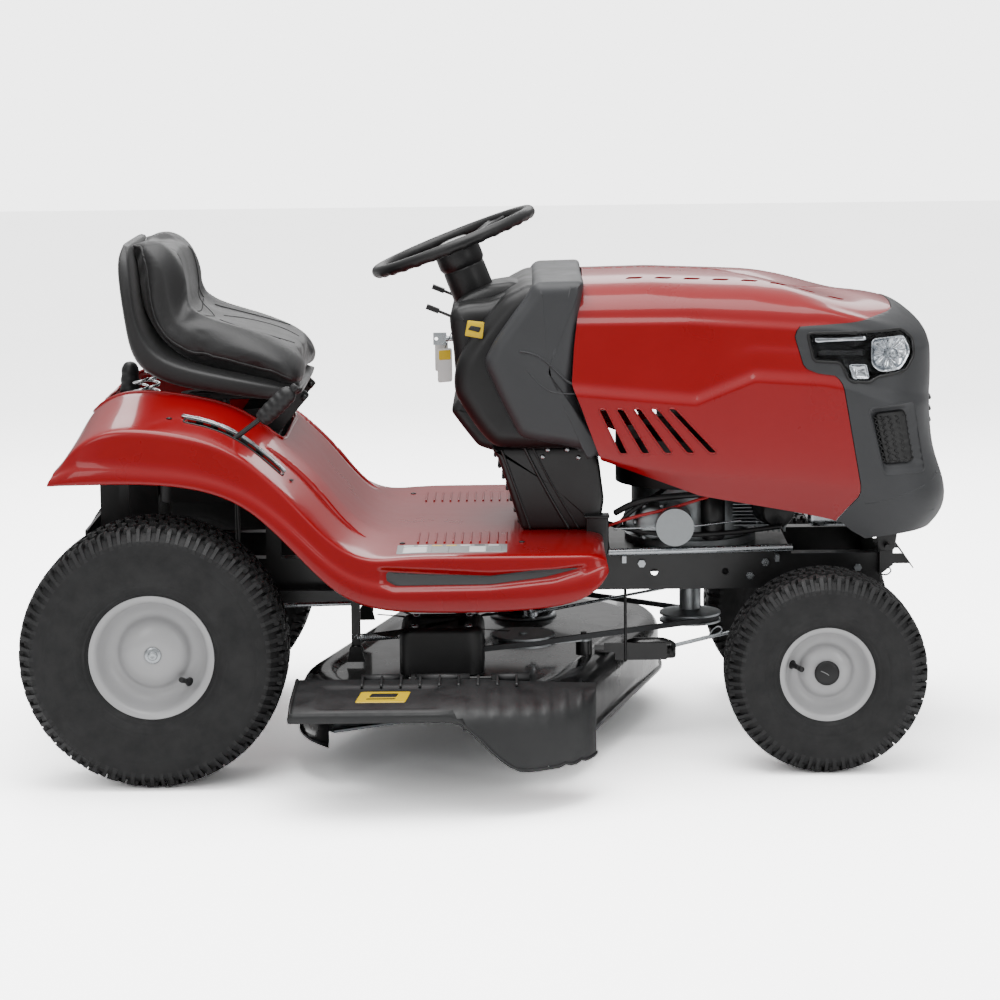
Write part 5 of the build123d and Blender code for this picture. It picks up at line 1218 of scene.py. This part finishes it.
def seatBody(shrinkBy=0.0, rows=60, columns=72):
    # Sections square to the seat's own line: half width w cos(a)^p, thickness between the two lines times
    # sin(a)^p, with a roll 22 mm high near each side and a shallow trough along the middle.
    top, under = np.array(seat["top"], float), np.array(seat["under"], float)
    half = np.array(seat["halves"], float)
    net = bspline(np.concatenate([top, under, half[:, None]], 1), rows)
    upper, lower, half = net[:, :2], net[:, 2:4], net[:, 4] - shrinkBy
    middle, thick = (upper + lower) / 2, (upper - lower) / 2
    size = np.linalg.norm(thick, axis=1)
    thick = thick / size[:, None] * (size - shrinkBy)[:, None]
    a = np.linspace(0, 2 * math.pi, columns, endpoint=False)
    power = 0.58
    across = np.sign(np.cos(a)) * np.abs(np.cos(a)) ** power
    rise = np.sign(np.sin(a)) * np.abs(np.sin(a)) ** power
    share = np.abs(across)
    roll = np.where(rise > 0, np.exp(-((share - 0.76) / 0.17) ** 2) * 17 - np.exp(-(share / 0.5) ** 2) * 7, 0)
    fade = np.sin(np.linspace(0.25, math.pi - 0.35, rows))[:, None] ** 0.6
    unit = thick / np.linalg.norm(thick, axis=1)[:, None]
    flat = middle[:, None] + thick[:, None] * rise[None, :, None] + unit[:, None] * (roll[None] * fade)[...,
        None]
    y = half[:, None] * across[None]
    return np.stack([flat[..., 0], y, flat[..., 1]], -1)


def closeLoaf(grid, start=0.55, end=0.5):
    # Rounds both ends of a grid of closed rings by shrinking copies of the end rings past the ends.
    first, last = grid[0], grid[-1]
    out = []
    for ring, nextRing, share in ((first, grid[1], start), (last, grid[-2], end)):
        centre = ring.mean(0)
        away = centre - nextRing.mean(0)
        away /= np.linalg.norm(away)
        depth = np.linalg.norm(ring - centre, axis=1).min() * share
        caps = [centre + (ring - centre) * math.cos(b) + away * depth * math.sin(b) for b in np.radians([25,
            45, 62, 76, 86])]
        out.append(np.array(caps))
    return np.concatenate([out[0][::-1], grid, out[1]])


def puffed(piece, voxel, cap, frames=20, pressure=4.0):
    # Cloth swollen by its own pressure, each point kept within cap mm of where it started.
    remesh = piece.modifiers.new("skin", "REMESH")
    remesh.mode, remesh.voxel_size = "VOXEL", voxel / 1000
    applied(piece)
    start = np.zeros(len(piece.data.vertices) * 3)
    piece.data.vertices.foreach_get("co", start)
    cloth = piece.modifiers.new("cover", "CLOTH")
    cloth.settings.use_pressure = True
    cloth.settings.uniform_pressure_force = pressure
    cloth.settings.effector_weights.gravity = 0
    cloth.settings.quality = 4
    cloth.point_cache.frame_start, cloth.point_cache.frame_end = 1, frames
    for number in range(1, frames + 1):
        bpy.context.scene.frame_set(number)
    applied(piece)
    bpy.context.scene.frame_set(1)
    end = np.zeros(len(piece.data.vertices) * 3)
    piece.data.vertices.foreach_get("co", end)
    move = (end - start).reshape(-1, 3)
    length = np.linalg.norm(move, axis=1)[:, None] + 1e-12
    move *= np.minimum(1, cap / 1000 / length)
    piece.data.vertices.foreach_set("co", (start.reshape(-1, 3) + move).ravel())
    piece.data.update()
    return piece


cushion = gridPiece("seat_cover", closeLoaf(seatBody(4.0), 0.35, 0.3), closeColumns=True, capEnds=True)
puffed(cushion, seat["voxel"], seat["cap"])
relax = cushion.modifiers.new("relax", "SMOOTH")
relax.factor, relax.iterations = 0.5, 6
applied(cushion)
rounder = cushion.modifiers.new("rounder", "SUBSURF")
rounder.levels = rounder.render_levels = 1
applied(cushion)
cushion.data.polygons.foreach_set("use_smooth", np.ones(len(cushion.data.polygons), bool))
finish(cushion, seatVinyl, "seat", ["seat_cushion"])
print("seat cover made")


def snapTo(piece, points, out=0.0):
    # Each point moved to the nearest point of a piece's surface, then out along its normal (mm).
    from mathutils.bvhtree import BVHTree
    mesh = piece.data
    tree = BVHTree.FromPolygons([v.co for v in mesh.vertices], [tuple(f.vertices) for f in mesh.polygons])
    found = [tree.find_nearest(Vector(p)) for p in place(points)]
    there = np.array([list(f[0] + f[1] * (out / 1000)) for f in found])
    return (there - origin) * 1000


def seatSeam(name, points, radius, material, out=0.2, count=90):
    # A sewn line or piping laid on the cover.
    line = snapTo(cushion, bspline(points, count), out)
    line[1:-1] = (line[:-2] + line[1:-1] * 2 + line[2:]) / 4
    return finish(tube(name, line, radius, 8, count, straight=True), material, "seat")


# centre panel: side seams, cross seam at the bend, a flared seam towards the front and the piping
# round the edge
for side in (-1, 1):
    word = "right" if side < 0 else "left"
    seatSeam(f"back_seam_{word}", [(60, side * 96, 1010), (60, side * 108, 960), (60, side * 112, 915),
        (70, side * 112, 890)], 1.1, threadBlack)
    seatSeam(f"base_seam_{word}", [(86, side * 116, 880), (120, side * 124, 870), (180, side * 128, 850),
        (235, side * 132, 830)], 1.1, threadBlack)
    seatSeam(f"corner_seam_{word}", [(60, side * 112, 905), (84, side * 60, 880), (96, 0, 872)], 1.0,
        threadBlack)
    seatSeam(f"panel_seam_{word}", [(110, side * 40, 870), (150, side * 86, 858), (226, side * 92, 838),
        (262, side * 60, 822)], 1.0, threadBlack)
    seatSeam(f"side_piping_{word}", [(-70, side * 150, 1016), (-62, side * 196, 990), (-52, side * 212, 940),
        (-44, side * 216, 890),
                                     (-30, side * 224, 846), (0, side * 228, 812), (60, side * 232, 790),
                                     (140, side * 234, 770),
                                     (220, side * 230, 750), (266, side * 214, 738)], 2.4, seatVinyl, 0.4,
                                     120)
seatSeam("bend_seam", [(60, -108, 880), (66, -50, 872), (68, 0, 870), (66, 50, 872), (60, 108, 880)], 1.1,
    threadBlack)
seatSeam("top_piping", [(-62, -196, 992), (-74, -120, 1020), (-76, 0, 1024), (-74, 120, 1020),
    (-62, 196, 992)], 2.4, seatVinyl, 0.4)

# moulded shell below and behind the cover
shellTop = [(-60, 1004), (-52, 985), (-46, 945), (-42, 900), (-34, 856), (-6, 808), (48, 784), (120, 768),
    (190, 753), (244, 740), (276, 730)]
shellLow = [(-72, 1008), (-82, 985), (-80, 945), (-74, 900), (-68, 856), (-56, 770), (20, 734), (90, 722),
    (160, 712), (228, 700), (272, 716)]
shellHalf = [150, 186, 204, 212, 216, 220, 222, 224, 224, 216, 176]


def shellBody(rows=60, columns=64):
    # The same kind of section between the shell's own two lines.
    net = bspline(np.concatenate([shellTop, shellLow, np.array(shellHalf, float)[:, None]], 1), rows)
    middle, thick, half = (net[:, :2] + net[:, 2:4]) / 2, (net[:, :2] - net[:, 2:4]) / 2, net[:, 4]
    a = np.linspace(0, 2 * math.pi, columns, endpoint=False)
    across = np.sign(np.cos(a)) * np.abs(np.cos(a)) ** 0.42
    rise = np.sign(np.sin(a)) * np.abs(np.sin(a)) ** 0.42
    flat = middle[:, None] + thick[:, None] * rise[None, :, None]
    return np.stack([flat[..., 0], half[:, None] * across[None], flat[..., 1]], -1)


shell = gridPiece("seat_shell", closeLoaf(shellBody(), 0.3, 0.3), closeColumns=True, capEnds=True)
finish(shell, seatVinyl, "seat", ["seat_pan"])
lugs = []
for side in (-1, 1):
    lugs.append(loaf("lug", [(206, 716), (262, 724), (284, 704), (272, 690), (256, 694), (214, 706)], 3.6,
        1.4, "y", side * 95.8, 6, 60))
    lugs.append(lathe("pin", [(0, -10), (6, -10), (6, 10), (5, 11), (0, 11)], (272, side * 102, 700),
        (0, side, 0), sides=24))
finish(join("seat_hinge_lugs", lugs), blackPaint, "seat")
under = [boxPiece("rail", (40, y - 14, 700 - 4), (226, y + 14, 712), 3, "y") for y in (-80, 80)]
finish(join("seat_slide_rails", under), blackPaint, "seat")
print("seat made")

# steering wheel
steer = dict(radius=162.0, grip=12.5, bumps=30)
leanAxis = np.array([math.sin(math.radians(21)), 0, -math.cos(math.radians(21))]) * -1
leanAcross = np.array([0.0, 1.0, 0.0])
leanAlong = np.cross(leanAcross, leanAxis)
steerCentre = np.array([569.0, 0.0, 997.0])


def onSteer(u, v, w=0.0):
    # Point in the wheel's own axes: u forward, v to the left, w along the column, up.
    u, v, w = np.broadcast_arrays(np.asarray(u, float), v, w)
    return steerCentre + u[..., None] * leanAlong + v[..., None] * leanAcross + w[..., None] * leanAxis


turns, around = 360, 20
a = np.linspace(0, 2 * math.pi, turns, endpoint=False)[:, None]
b = np.linspace(0, 2 * math.pi, around, endpoint=False)[None, :]
bump = 1.6 * np.maximum(0, np.sin(a * steer["bumps"])) ** 1.0 * np.maximum(0, -np.sin(b))
r = steer["grip"] + bump - 0.8
ringGrid = onSteer((steer["radius"] + r * np.cos(b)) * np.cos(a),
    (steer["radius"] + r * np.cos(b)) * np.sin(a), r * np.sin(b) + 0 * a)
wheelParts = [gridPiece("ring", ringGrid, closeRows=True, closeColumns=True)]
for angle in (0, 128, -128):
    turn = math.radians(angle + 180)
    out, side = np.array([math.cos(turn), math.sin(turn)]), np.array([-math.sin(turn), math.cos(turn)])
    s = np.linspace(0, 1, 26)
    distance = 30 + s * (steer["radius"] - 30 - 3)
    width = 19 - 5 * np.sin(s * math.pi) + 7 * s ** 4
    drop = -16 * (1 - s) ** 1.4
    edges = []
    for share, lift in ((-1, -2), (-1, 2), (-0.82, 5), (-0.6, 2.2), (0, 2.6), (0.6, 2.2), (0.82, 5), (1, 2),
            (1, -2), (0.7, -5), (0, -6), (-0.7, -5)):
        p = out[None] * distance[:, None] + side[None] * (width * share)[:, None]
        edges.append(onSteer(p[:, 0], p[:, 1], drop + lift))
    wheelParts.append(gridPiece("spoke", np.stack(edges, 1), closeColumns=True, capEnds=True))
wheelParts.append(lathe("hub", [(0, 6), (20, 5.5), (36, 2), (43, -4), (46, -14), (46, -40), (40, -52),
    (30, -58), (0, -58)],
                        steerCentre + leanAxis * -6, leanAxis, sides=64))
finish(join("steering_wheel_moulding", wheelParts), blackPlastic, "steering",
    ["steering_wheel"])
finish(lathe("steering_cap", [(0, 4), (14, 3.6), (24, 2.2), (30, 0), (31, -3), (31, -8), (0, -8)],
    steerCentre + leanAxis * 1.5,
             leanAxis, sides=56), glossBlack, "steering")
print("steering wheel made")

# cutting deck
deckCircles = [(700.0, 262.0, 285.0), (555.0, -265.0, 285.0)]


def hullOutline(grow, count=200):
    # Outline round both blade circles, as wide as they are plus grow.
    (x0, y0, r0), (x1, y1, r1) = deckCircles
    between = math.atan2(y1 - y0, x1 - x0)
    a = np.linspace(between + math.pi / 2, between + 3 * math.pi / 2, 60)
    b = np.linspace(between - math.pi / 2, between + math.pi / 2, 60)
    first = np.stack([x0 + (r0 + grow) * np.cos(a), y0 + (r0 + grow) * np.sin(a)], -1)
    second = np.stack([x1 + (r1 + grow) * np.cos(b), y1 + (r1 + grow) * np.sin(b)], -1)
    return resample(np.concatenate([first, second]), count, True)


def hullRing(grow, z, count=200):
    line = hullOutline(grow, count)
    return np.column_stack([line, np.full(count, z)])


round38 = np.radians(np.linspace(0, 90, 9))
rings = [hullRing(8, 75), hullRing(8, 79.5), hullRing(2.5, 80.5), hullRing(0.4, 84), hullRing(0, 100),
    hullRing(0, 128), hullRing(0, 150)]
rings += [hullRing(-38 + 38 * math.cos(b), 152 + 38 * math.sin(b)) for b in round38]
rings += [hullRing(-48, 190), hullRing(-58, 188.5), hullRing(-64, 184.5), hullRing(-70, 183.2),
    hullRing(-90, 183), hullRing(-180, 183), hullRing(-250, 183)]
deckSheet = addMesh("deck_pressing", np.array(rings), gridFaces(len(rings), 200, closeColumns=True))
bm = bmesh.new()
bm.from_mesh(deckSheet.data)
bmesh.ops.contextual_create(bm,
    geom=[e for e in bm.edges if e.is_boundary and all(abs(v.co.z * 1000 - 183) < 1 for v in e.verts)])
bm.to_mesh(deckSheet.data)
bm.free()
outwards(deckSheet, 1e-7)
deckSheet.data.update()
if sum(f.normal.z * f.area for f in deckSheet.data.polygons) < 0:
    deckSheet.data.flip_normals()
thicken(deckSheet, 2.6)
applied(deckSheet)
cutWith(deckSheet, [boxPiece("cut", (330, -700, 60), (770, -430, 168), 8, "y")])
sharpen(deckSheet, 35)
finish(deckSheet, glossBlack, "deck", ["deck_shell"])

# bolted flange under each spindle
domes = []
for x, y, radius in deckCircles:
    domes.append(lathe("dome", [(0, 205), (34, 205), (40, 200), (46, 191), (66, 190.4), (70, 188),
        (70, 183.4), (0, 183.4)],
                       (x, y, 0), (0.0, 0.0, 1.0), sides=72))
    for k in range(6):
        c = math.radians(60 * k + 30)
        domes.append(lathe("bolt", [(0, 197), (5, 196.4), (6.5, 195), (6.5, 190), (0, 190)],
            (x + 57 * math.cos(c), y + 57 * math.sin(c), 0),
                           (0.0, 0.0, 1.0), sides=6))
finish(join("spindle_flanges", domes), castAluminium, "deck")
# front link bracket with its round boss
bracket = [prism("plate", roundOutline([(892, 172), (1004, 172), (1004, 204), (980, 214), (918, 214),
    (892, 204)], 8, 80), -130, -124, "y")]
bracket.append(lathe("boss", [(0, -8), (11, -8), (13, -5), (13, 5), (11, 8), (0, 8)], (974, -126, 192),
    (0.0, 1.0, 0.0), sides=28))
finish(join("front_link_bracket", bracket), glossBlack, "deck")

# belt cover: a moulded lid with a raised edge and screws
coverOutline = roundOutline([(463, -361), (600, -361), (625, -340), (625, -212), (606, -195), (480, -195),
    (463, -212)], 26, 120)
coverRings = [np.column_stack([shrink(coverOutline, inset), np.full(len(coverOutline), z)])
              for inset, z in ((0, 193), (0, 268), (1.2, 274), (4, 279), (8, 282), (12, 283), (16, 280.5),
                      (24, 280), (50, 281))]
cover = addMesh("belt_guard", np.array(coverRings),
    gridFaces(len(coverRings), len(coverOutline), closeColumns=True))
bm = bmesh.new()
bm.from_mesh(cover.data)
bmesh.ops.contextual_create(bm,
    geom=[e for e in bm.edges if e.is_boundary and all(v.co.z * 1000 > 270 for v in e.verts)])
bm.to_mesh(cover.data)
bm.free()
outwards(cover, 1e-7)
thicken(cover, 2.2)
applied(cover)
cutWith(cover, [boxPiece("cut", (612, -330, 214), (640, -226, 250), 3, "x"),
    boxPiece("cut", (448, -330, 214), (476, -226, 250), 3, "x")])
sharpen(cover, 35)
finish(cover, blackPlastic, "deck", ["belt_cover"])
heads = [lathe("head", [(0, 287), (3, 286.6), (7, 286), (8.5, 284), (8.5, 280), (0, 280)], (x, y, 0),
    (0.0, 0.0, 1.0), sides=6)
         for x, y in ((492, -226), (596, -226), (492, -330), (596, -330))]
finish(join("belt_guard_screws", heads), zincSteel, "deck")

print("deck made")

# discharge chute
chute = dict(front=276.0)


def chuteSection(x):
    # Section across the chute at x as (y, z), from the hinge side outwards and down.
    t = smooth(560, 836, x)
    dome = math.sqrt(max(0.0, 1 - ((x - 560) / 276) ** 2)) if x > 560 else 1.0
    reach = 218 * (0.18 + 0.82 * dome)
    high, low = 214 - 10 * t, 190 + (84 - 190) * smooth(0.0, 0.55, (x - 556) / 276)
    out = -486 - reach
    return [(-486, high + 1), (-500, high + 1), (-540, high - 1), (out + 70 * dome, high - 5 - 4 * t),
        (out + 24 * dome, high - 12 - 10 * t),
            (out + 6 * dome, high - 26 - 20 * t), (out, (high - 40 + low) / 2 - 8 * t), (out - 0.5, low + 6),
            (out, low)]


stations = np.concatenate([np.linspace(chute["front"], 556, 30),
    560 + 276 * np.sin(np.radians(np.linspace(2, 88, 46)))])
net = np.stack([np.column_stack([np.full(70, x), bspline(chuteSection(x), 70)]) for x in stations])
chuteGrid = net.copy()
ribs = np.maximum(0, np.cos(2 * math.pi * (chuteGrid[..., 0] - 590) / 31.0)) ** 3 * smooth(572, 596,
    chuteGrid[..., 0]) * smooth(834, 806, chuteGrid[..., 0])
chuteGrid[..., 2] += ribs * 4.0 * smooth(-520, -560, chuteGrid[..., 1])
recess = smooth(322, 334, chuteGrid[..., 0]) * smooth(548, 534, chuteGrid[..., 0]) * smooth(-528, -540,
    chuteGrid[..., 1]) * smooth(-676, -664, chuteGrid[..., 1])
chuteGrid[..., 2] -= 5.0 * recess
chutePiece = addMesh("chute_moulding", chuteGrid, gridFaces(chuteGrid.shape[0], chuteGrid.shape[1]))
outwards(chutePiece, 1e-7)
if sum(f.normal.z * f.area for f in chutePiece.data.polygons) < 0:
    chutePiece.data.flip_normals()
thicken(chutePiece, 3.2)
applied(chutePiece)
chuteParts = [chutePiece]
for low, high in (((396, -486, 200), (470, -474, 226)), ((500, -486, 200), (600, -474, 226)),
        ((640, -486, 200), (712, -474, 226))):
    chuteParts.append(lathe("knuckle", [(0, -(high[0] - low[0]) / 2), (9, -(high[0] - low[0]) / 2), (9.5, 0),
        (9, (high[0] - low[0]) / 2),
                                        (0, (high[0] - low[0]) / 2)], ((low[0] + high[0]) / 2, -482, 214),
                                        (1.0, 0.0, 0.0), sides=24))
for x in (400, 436, 472, 508, 544, 580, 616, 652, 688):
    chuteParts.append(loaf("rib", [(-486, 206), (-486, 222), (-500, 224), (-540, 216), (-540, 209)], 2.2,
        1.0, "x", x, 3, 40))
edge = chuteGrid[:, -1]
chuteParts.append(gridPiece("lip", tubeGrid(edge[::2], 3.2, 10), closeColumns=True, capEnds=True))
edge = chuteGrid[0]
chuteParts.append(gridPiece("lip", tubeGrid(edge[::2], 3.2, 10), closeColumns=True, capEnds=True))
finish(join("discharge_chute", chuteParts), chutePlastic, "chute", ["chute"])
print("chute made")

# levers and pedals
def gripShape(name, start, end, radius, flare=1.25, ridges=6):
    # A moulded grip: swollen in the middle, finger ridges, rounded ends.
    start, end = np.array(start, float), np.array(end, float)
    length = np.linalg.norm(end - start)
    s = np.linspace(0, 1, 56)
    swell = radius * (0.86 + (flare - 0.86) * np.sin(math.pi * s) ** 0.8 * 0.5 + 0.035 * np.cos(2 * math.pi * ridges * s))
    ends = np.sqrt(np.clip(1 - np.clip((0.07 - s) / 0.07, 0, 1) ** 2, 0,
        1)) * np.sqrt(np.clip(1 - np.clip((s - 0.88) / 0.12, 0, 1) ** 2, 0, 1))
    return lathe(name, np.column_stack([np.maximum(swell * ends, 0), (s - 0.5) * length]), (start + end) / 2,
        (end - start) / length, sides=40)


finish(gripShape("lift_grip", (206, -353, 687), (270, -353, 747), 17.0), gripRubber, "lift_lever")
finish(gripShape("lift_button", (267, -353, 744), (278, -353, 754), 8, ridges=0), blackPlastic, "lift_lever")
finish(gripShape("shift_grip", (-107, 150, 632), (-101.5, 150, 746), 18.0), gripRubber, "shift_lever")
pad = loaf("pedal_pad", [(768, 512), (782, 512), (790, 530), (776, 534), (766, 520)], 34, 2, "y", 232, 3, 60)
finish(pad, gripRubber, "clutch_pedal")
ribs = [tube("rib", [(778 + k * 3.0 - 4, y, 531.5 - k * 0.5) for y in (202, 262)], 1.6, 8, 12,
    straight=True) for k in range(4)]
finish(join("pedal_ribs", ribs), gripRubber, "clutch_pedal")

# ring and blank tag on the key
ringTurn = np.linspace(0, 2 * math.pi, 40, endpoint=False)
ringPath = np.stack([548 + 9 * np.cos(ringTurn), -92 + 3 * np.sin(ringTurn), 812 + 9 * np.sin(ringTurn)], -1)
finish(gridPiece("key_ring", tubeGrid(np.vstack([ringPath, ringPath[:2]]), 0.9, 8)[:-2], closeRows=True,
    closeColumns=True),
       zincSteel, "ignition_key")
finish(loaf("key_tag", [(532, 805), (558, 805), (558, 748), (532, 748)], 0.8, 0.3, "y", -93, 4, 60),
    whiteLabel, "ignition_key")
print("levers made")

# engine
# cooling fins, head cover with bolts, starter, oil filter and aluminium housings between rails and hood
engine = dict(finLow=432.0, finStep=7.0, fins=12)
parts = []
for k in range(engine["fins"]):
    z = engine["finLow"] + engine["finStep"] * k
    parts.append(loaf("fin", [(1108, -86), (1196, -86), (1196, 20), (1108, 20)], 1.2, 0.5, "z", z, 8, 60,
        0.0, 3))
finish(join("engine_fins", parts), castAluminium, "chassis")
body = [loaf("housing", [(900, 430), (1016, 430), (1016, 470), (990, 486), (930, 486), (900, 462)], 26, 8,
    "y", -118, 12, 100),
        lathe("cover", [(0, 20), (24, 20), (30, 17), (33, 12), (33, 0), (38, -2), (38, -18), (0, -18)],
        (958, -150, 452), (0.0, -1.0, 0.0), sides=48)]
for k in range(6):
    c = math.radians(60 * k)
    body.append(lathe("bolt", [(0, 5), (4, 4.6), (5, 3.6), (5, 0), (0, 0)],
        (958 + 35 * math.cos(c), -150.5, 452 + 35 * math.sin(c)), (0.0, -1.0, 0.0), sides=6))
finish(join("engine_castings", body), castAluminium, "chassis")
dark = [lathe("starter", [(0, 48), (20, 48), (24, 45), (24, -40), (20, -46), (0, -46)], (1076, -150, 462),
    (0.0, 0.0, 1.0), sides=48),
        lathe("filter", [(0, 40), (30, 40), (33, 36), (33, -24), (28, -34), (0, -34)], (1196, -112, 470),
        (0.3, -1.0, 0.0), sides=56),
        tube("pipe", [(884, -150, 470), (930, -168, 500), (1010, -172, 506), (1080, -170, 512),
        (1150, -160, 500)], 6.5, 14, 70),
        tube("pipe", [(870, -140, 448), (940, -172, 432), (1030, -176, 428), (1120, -172, 432),
        (1210, -150, 440)], 5, 12, 70),
        tube("hose", [(1010, -60, 520), (990, -120, 516), (950, -160, 498), (905, -168, 470),
        (884, -160, 440)], 4.5, 12, 70)]
finish(join("engine_dark_parts", dark), blackPlastic, "chassis")
finish(tube("starter_lead", [(1078, -166, 506), (1040, -178, 498), (985, -182, 480), (930, -178, 470),
    (880, -168, 452), (852, -150, 438)], 3.2, 10, 90),
       redWire, "chassis")
finish(tube("throttle_rod", [(880, -182, 444), (960, -185, 446), (1050, -184, 449), (1130, -170, 456)], 1.8,
    8, 60, straight=True),
       zincSteel, "chassis")
print("engine made")

# small steel parts
def extensionSpring(name, start, end, radius, wire, turnsOfWire, hook=10.0):
    # Coil between two points with a half loop at each end.
    start, end = np.array(start, float), np.array(end, float)
    w = (end - start) / np.linalg.norm(end - start)
    u = np.cross(w, (0, 1.0, 0.2))
    u /= np.linalg.norm(u)
    v = np.cross(w, u)
    length = np.linalg.norm(end - start) - 2 * hook
    s = np.linspace(0, 1, turnsOfWire * 14)
    a = 2 * math.pi * turnsOfWire * s
    coil = start + w * (hook + length * s)[:, None] + radius * (np.cos(a)[:, None] * u + np.sin(a)[:,
        None] * v)
    h = np.linspace(0, 1, 10)[:-1, None]
    first = start + w * (hook * h) + u * (radius * np.sin(h * math.pi / 2)) + v * (2.5 * np.sin(h * math.pi))
    last = end - w * (hook * (1 - h[::-1])) * 0 - w * (hook * h[::-1]) + u * (radius * np.sin(h[::-1] * math.pi / 2))
    return tube(name, np.concatenate([first, coil, last]), wire, 8, None, straight=True)


finish(extensionSpring("deck_idler_spring", (372, -262, 247), (470, -300, 262), 7.0, 1.3, 20), zincSteel,
    "deck")
clip = [(1068, -126, 213), (1074, -130, 226), (1082, -134, 236), (1091, -136, 238), (1096, -136, 232),
    (1092, -134, 224), (1082, -131, 219), (1070, -128, 216), (1056, -127, 214)]
finish(tube("hairpin_clip", clip, 1.5, 8, 90), zincSteel, "front_link")
hooks = []
for x, z in ((1404, 402), (1398, 350)):
    hooks.append(tube("hook", [(x, -148, z), (x + 16, -154, z + 12), (x + 34, -156, z + 2),
        (x + 20, -154, z - 12), (x + 2, -150, z - 4)], 1.6, 8, 70))
finish(join("guard_wire_hooks", hooks), zincSteel, "chassis")
keeper = tube("keeper", [(903, -150, 172), (903, -152, 300), (903, -140, 322), (903, -110, 330)], 3.0, 12, 50)
finish(keeper, blackPaint, "chassis")
wires = [tube("wire", [(-90, -150, 640), (-40, -190, 646), (10, -196, 652), (60, -170, 648),
    (90, -110, 650)], 2.2, 8, 70),
         tube("wire", [(-70, -120, 646), (-20, -160, 656), (40, -150, 650), (96, -90, 652)], 1.8, 8, 70)]
finish(join("seat_switch_wires", wires), blackPlastic, "chassis")
print("small parts made")

# plain labels
def layOnChute(points, lift):
    # Points (x, y) on the chute's upper face.
    top = chuteGrid[:, :46].reshape(-1, 3)
    d = (top[None, :, 0] - points[:, 0][:, None]) ** 2 + (top[None, :, 1] - points[:, 1][:, None]) ** 2
    near = np.argsort(d, 1)[:, :4]
    w = 1 / (np.take_along_axis(d, near, 1) + 0.05)
    return np.stack([points[:, 0], points[:, 1], np.sum(w * top[near, 2], 1) / w.sum(1) + lift], -1)


sticker("chute_label", [(400, -560), (492, -560), (484, -630), (392, -630)], layOnChute, yellowLabel,
    "chute", 0.6, 4)
sticker("chute_label_panel", [(420, -574), (470, -574), (466, -598), (416, -598)], layOnChute, inkAndPaintedShadeBlack,
    "chute", 1.1, 2, 40)
sticker("chute_label_line", [(412, -606), (466, -606), (465, -612), (411, -612)], layOnChute, inkAndPaintedShadeBlack,
    "chute", 1.1, 1.5, 40)
for name, x0, x1, z0, z1, out, material in (("dash_label", 594, 632, 826, 862, 0.5, yellowLabel),
                                            ("dash_label_panel", 600, 626, 838, 852, 1.0, inkAndPaintedShadeBlack)):
    outline = roundOutline([(x0, z0 + 6), (x1 - 4, z0), (x1, z1 - 4), (x0 + 6, z1)], 2, 50)
    middle = outline.mean(0)
    loops = [onConsole(middle + (outline - middle) * s, 226 + (0.1 if s == 1 else out) + 2.0) for s in (1.0,
        0.98, 0.5, 0.02)]
    finish(outwards(addMesh(name, np.array(loops), gridFaces(4, 50, closeColumns=True)), 1e-7), material,
        "chassis")
hang = loaf("hanging_tag", [(537, 793), (566, 795), (566, 728), (537, 726)], 0.7, 0.3, "y", -103, 5, 60)
finish(hang, whiteLabel, "chassis")
finish(tube("tag_cord", [(566, -98, 826), (560, -100, 812), (552, -103, 794)], 0.9, 8, 24), blackPlastic,
    "chassis")
finish(loaf("tag_band", [(540, 790), (563, 791), (563, 772), (540, 771)], 1.1, 0.2, "y", -103, 2, 40),
    yellowLabel, "chassis")

# the frame nodes that keep their shape
dress(["frame_rails", "frame_plates", "front_guard", "seat_bracket", "front_axle", "knuckle_left",
    "knuckle_right"], blackPaint)
dress(["frame_bolts", "control_rods", "tie_rod", "drag_link", "front_link", "steering_sector"], zincSteel)
dress(["blade_left", "blade_right"], bladeSteel)
dress(["transaxle", "idler_arm", "engine_pulley", "transaxle_pulley", "idler_pulley"], castAluminium)
dress(["lift_lever", "lift_links", "shift_lever", "clutch_pedal", "deck_fittings", "throttle_lever",
    "blade_lever"], blackPaint)
dress(["ignition_key", "steering_shaft"], zincSteel)
dress(["drive_belt", "deck_belt"], beltRubber)
dress(["engine_block"], castAluminium)
dress(["engine_shroud", "battery", "fuel_tank", "fuel_cap", "belt_cover"], blackPlastic)
dress(["muffler"], zincSteel)
dress(["seat_springs"], chrome)
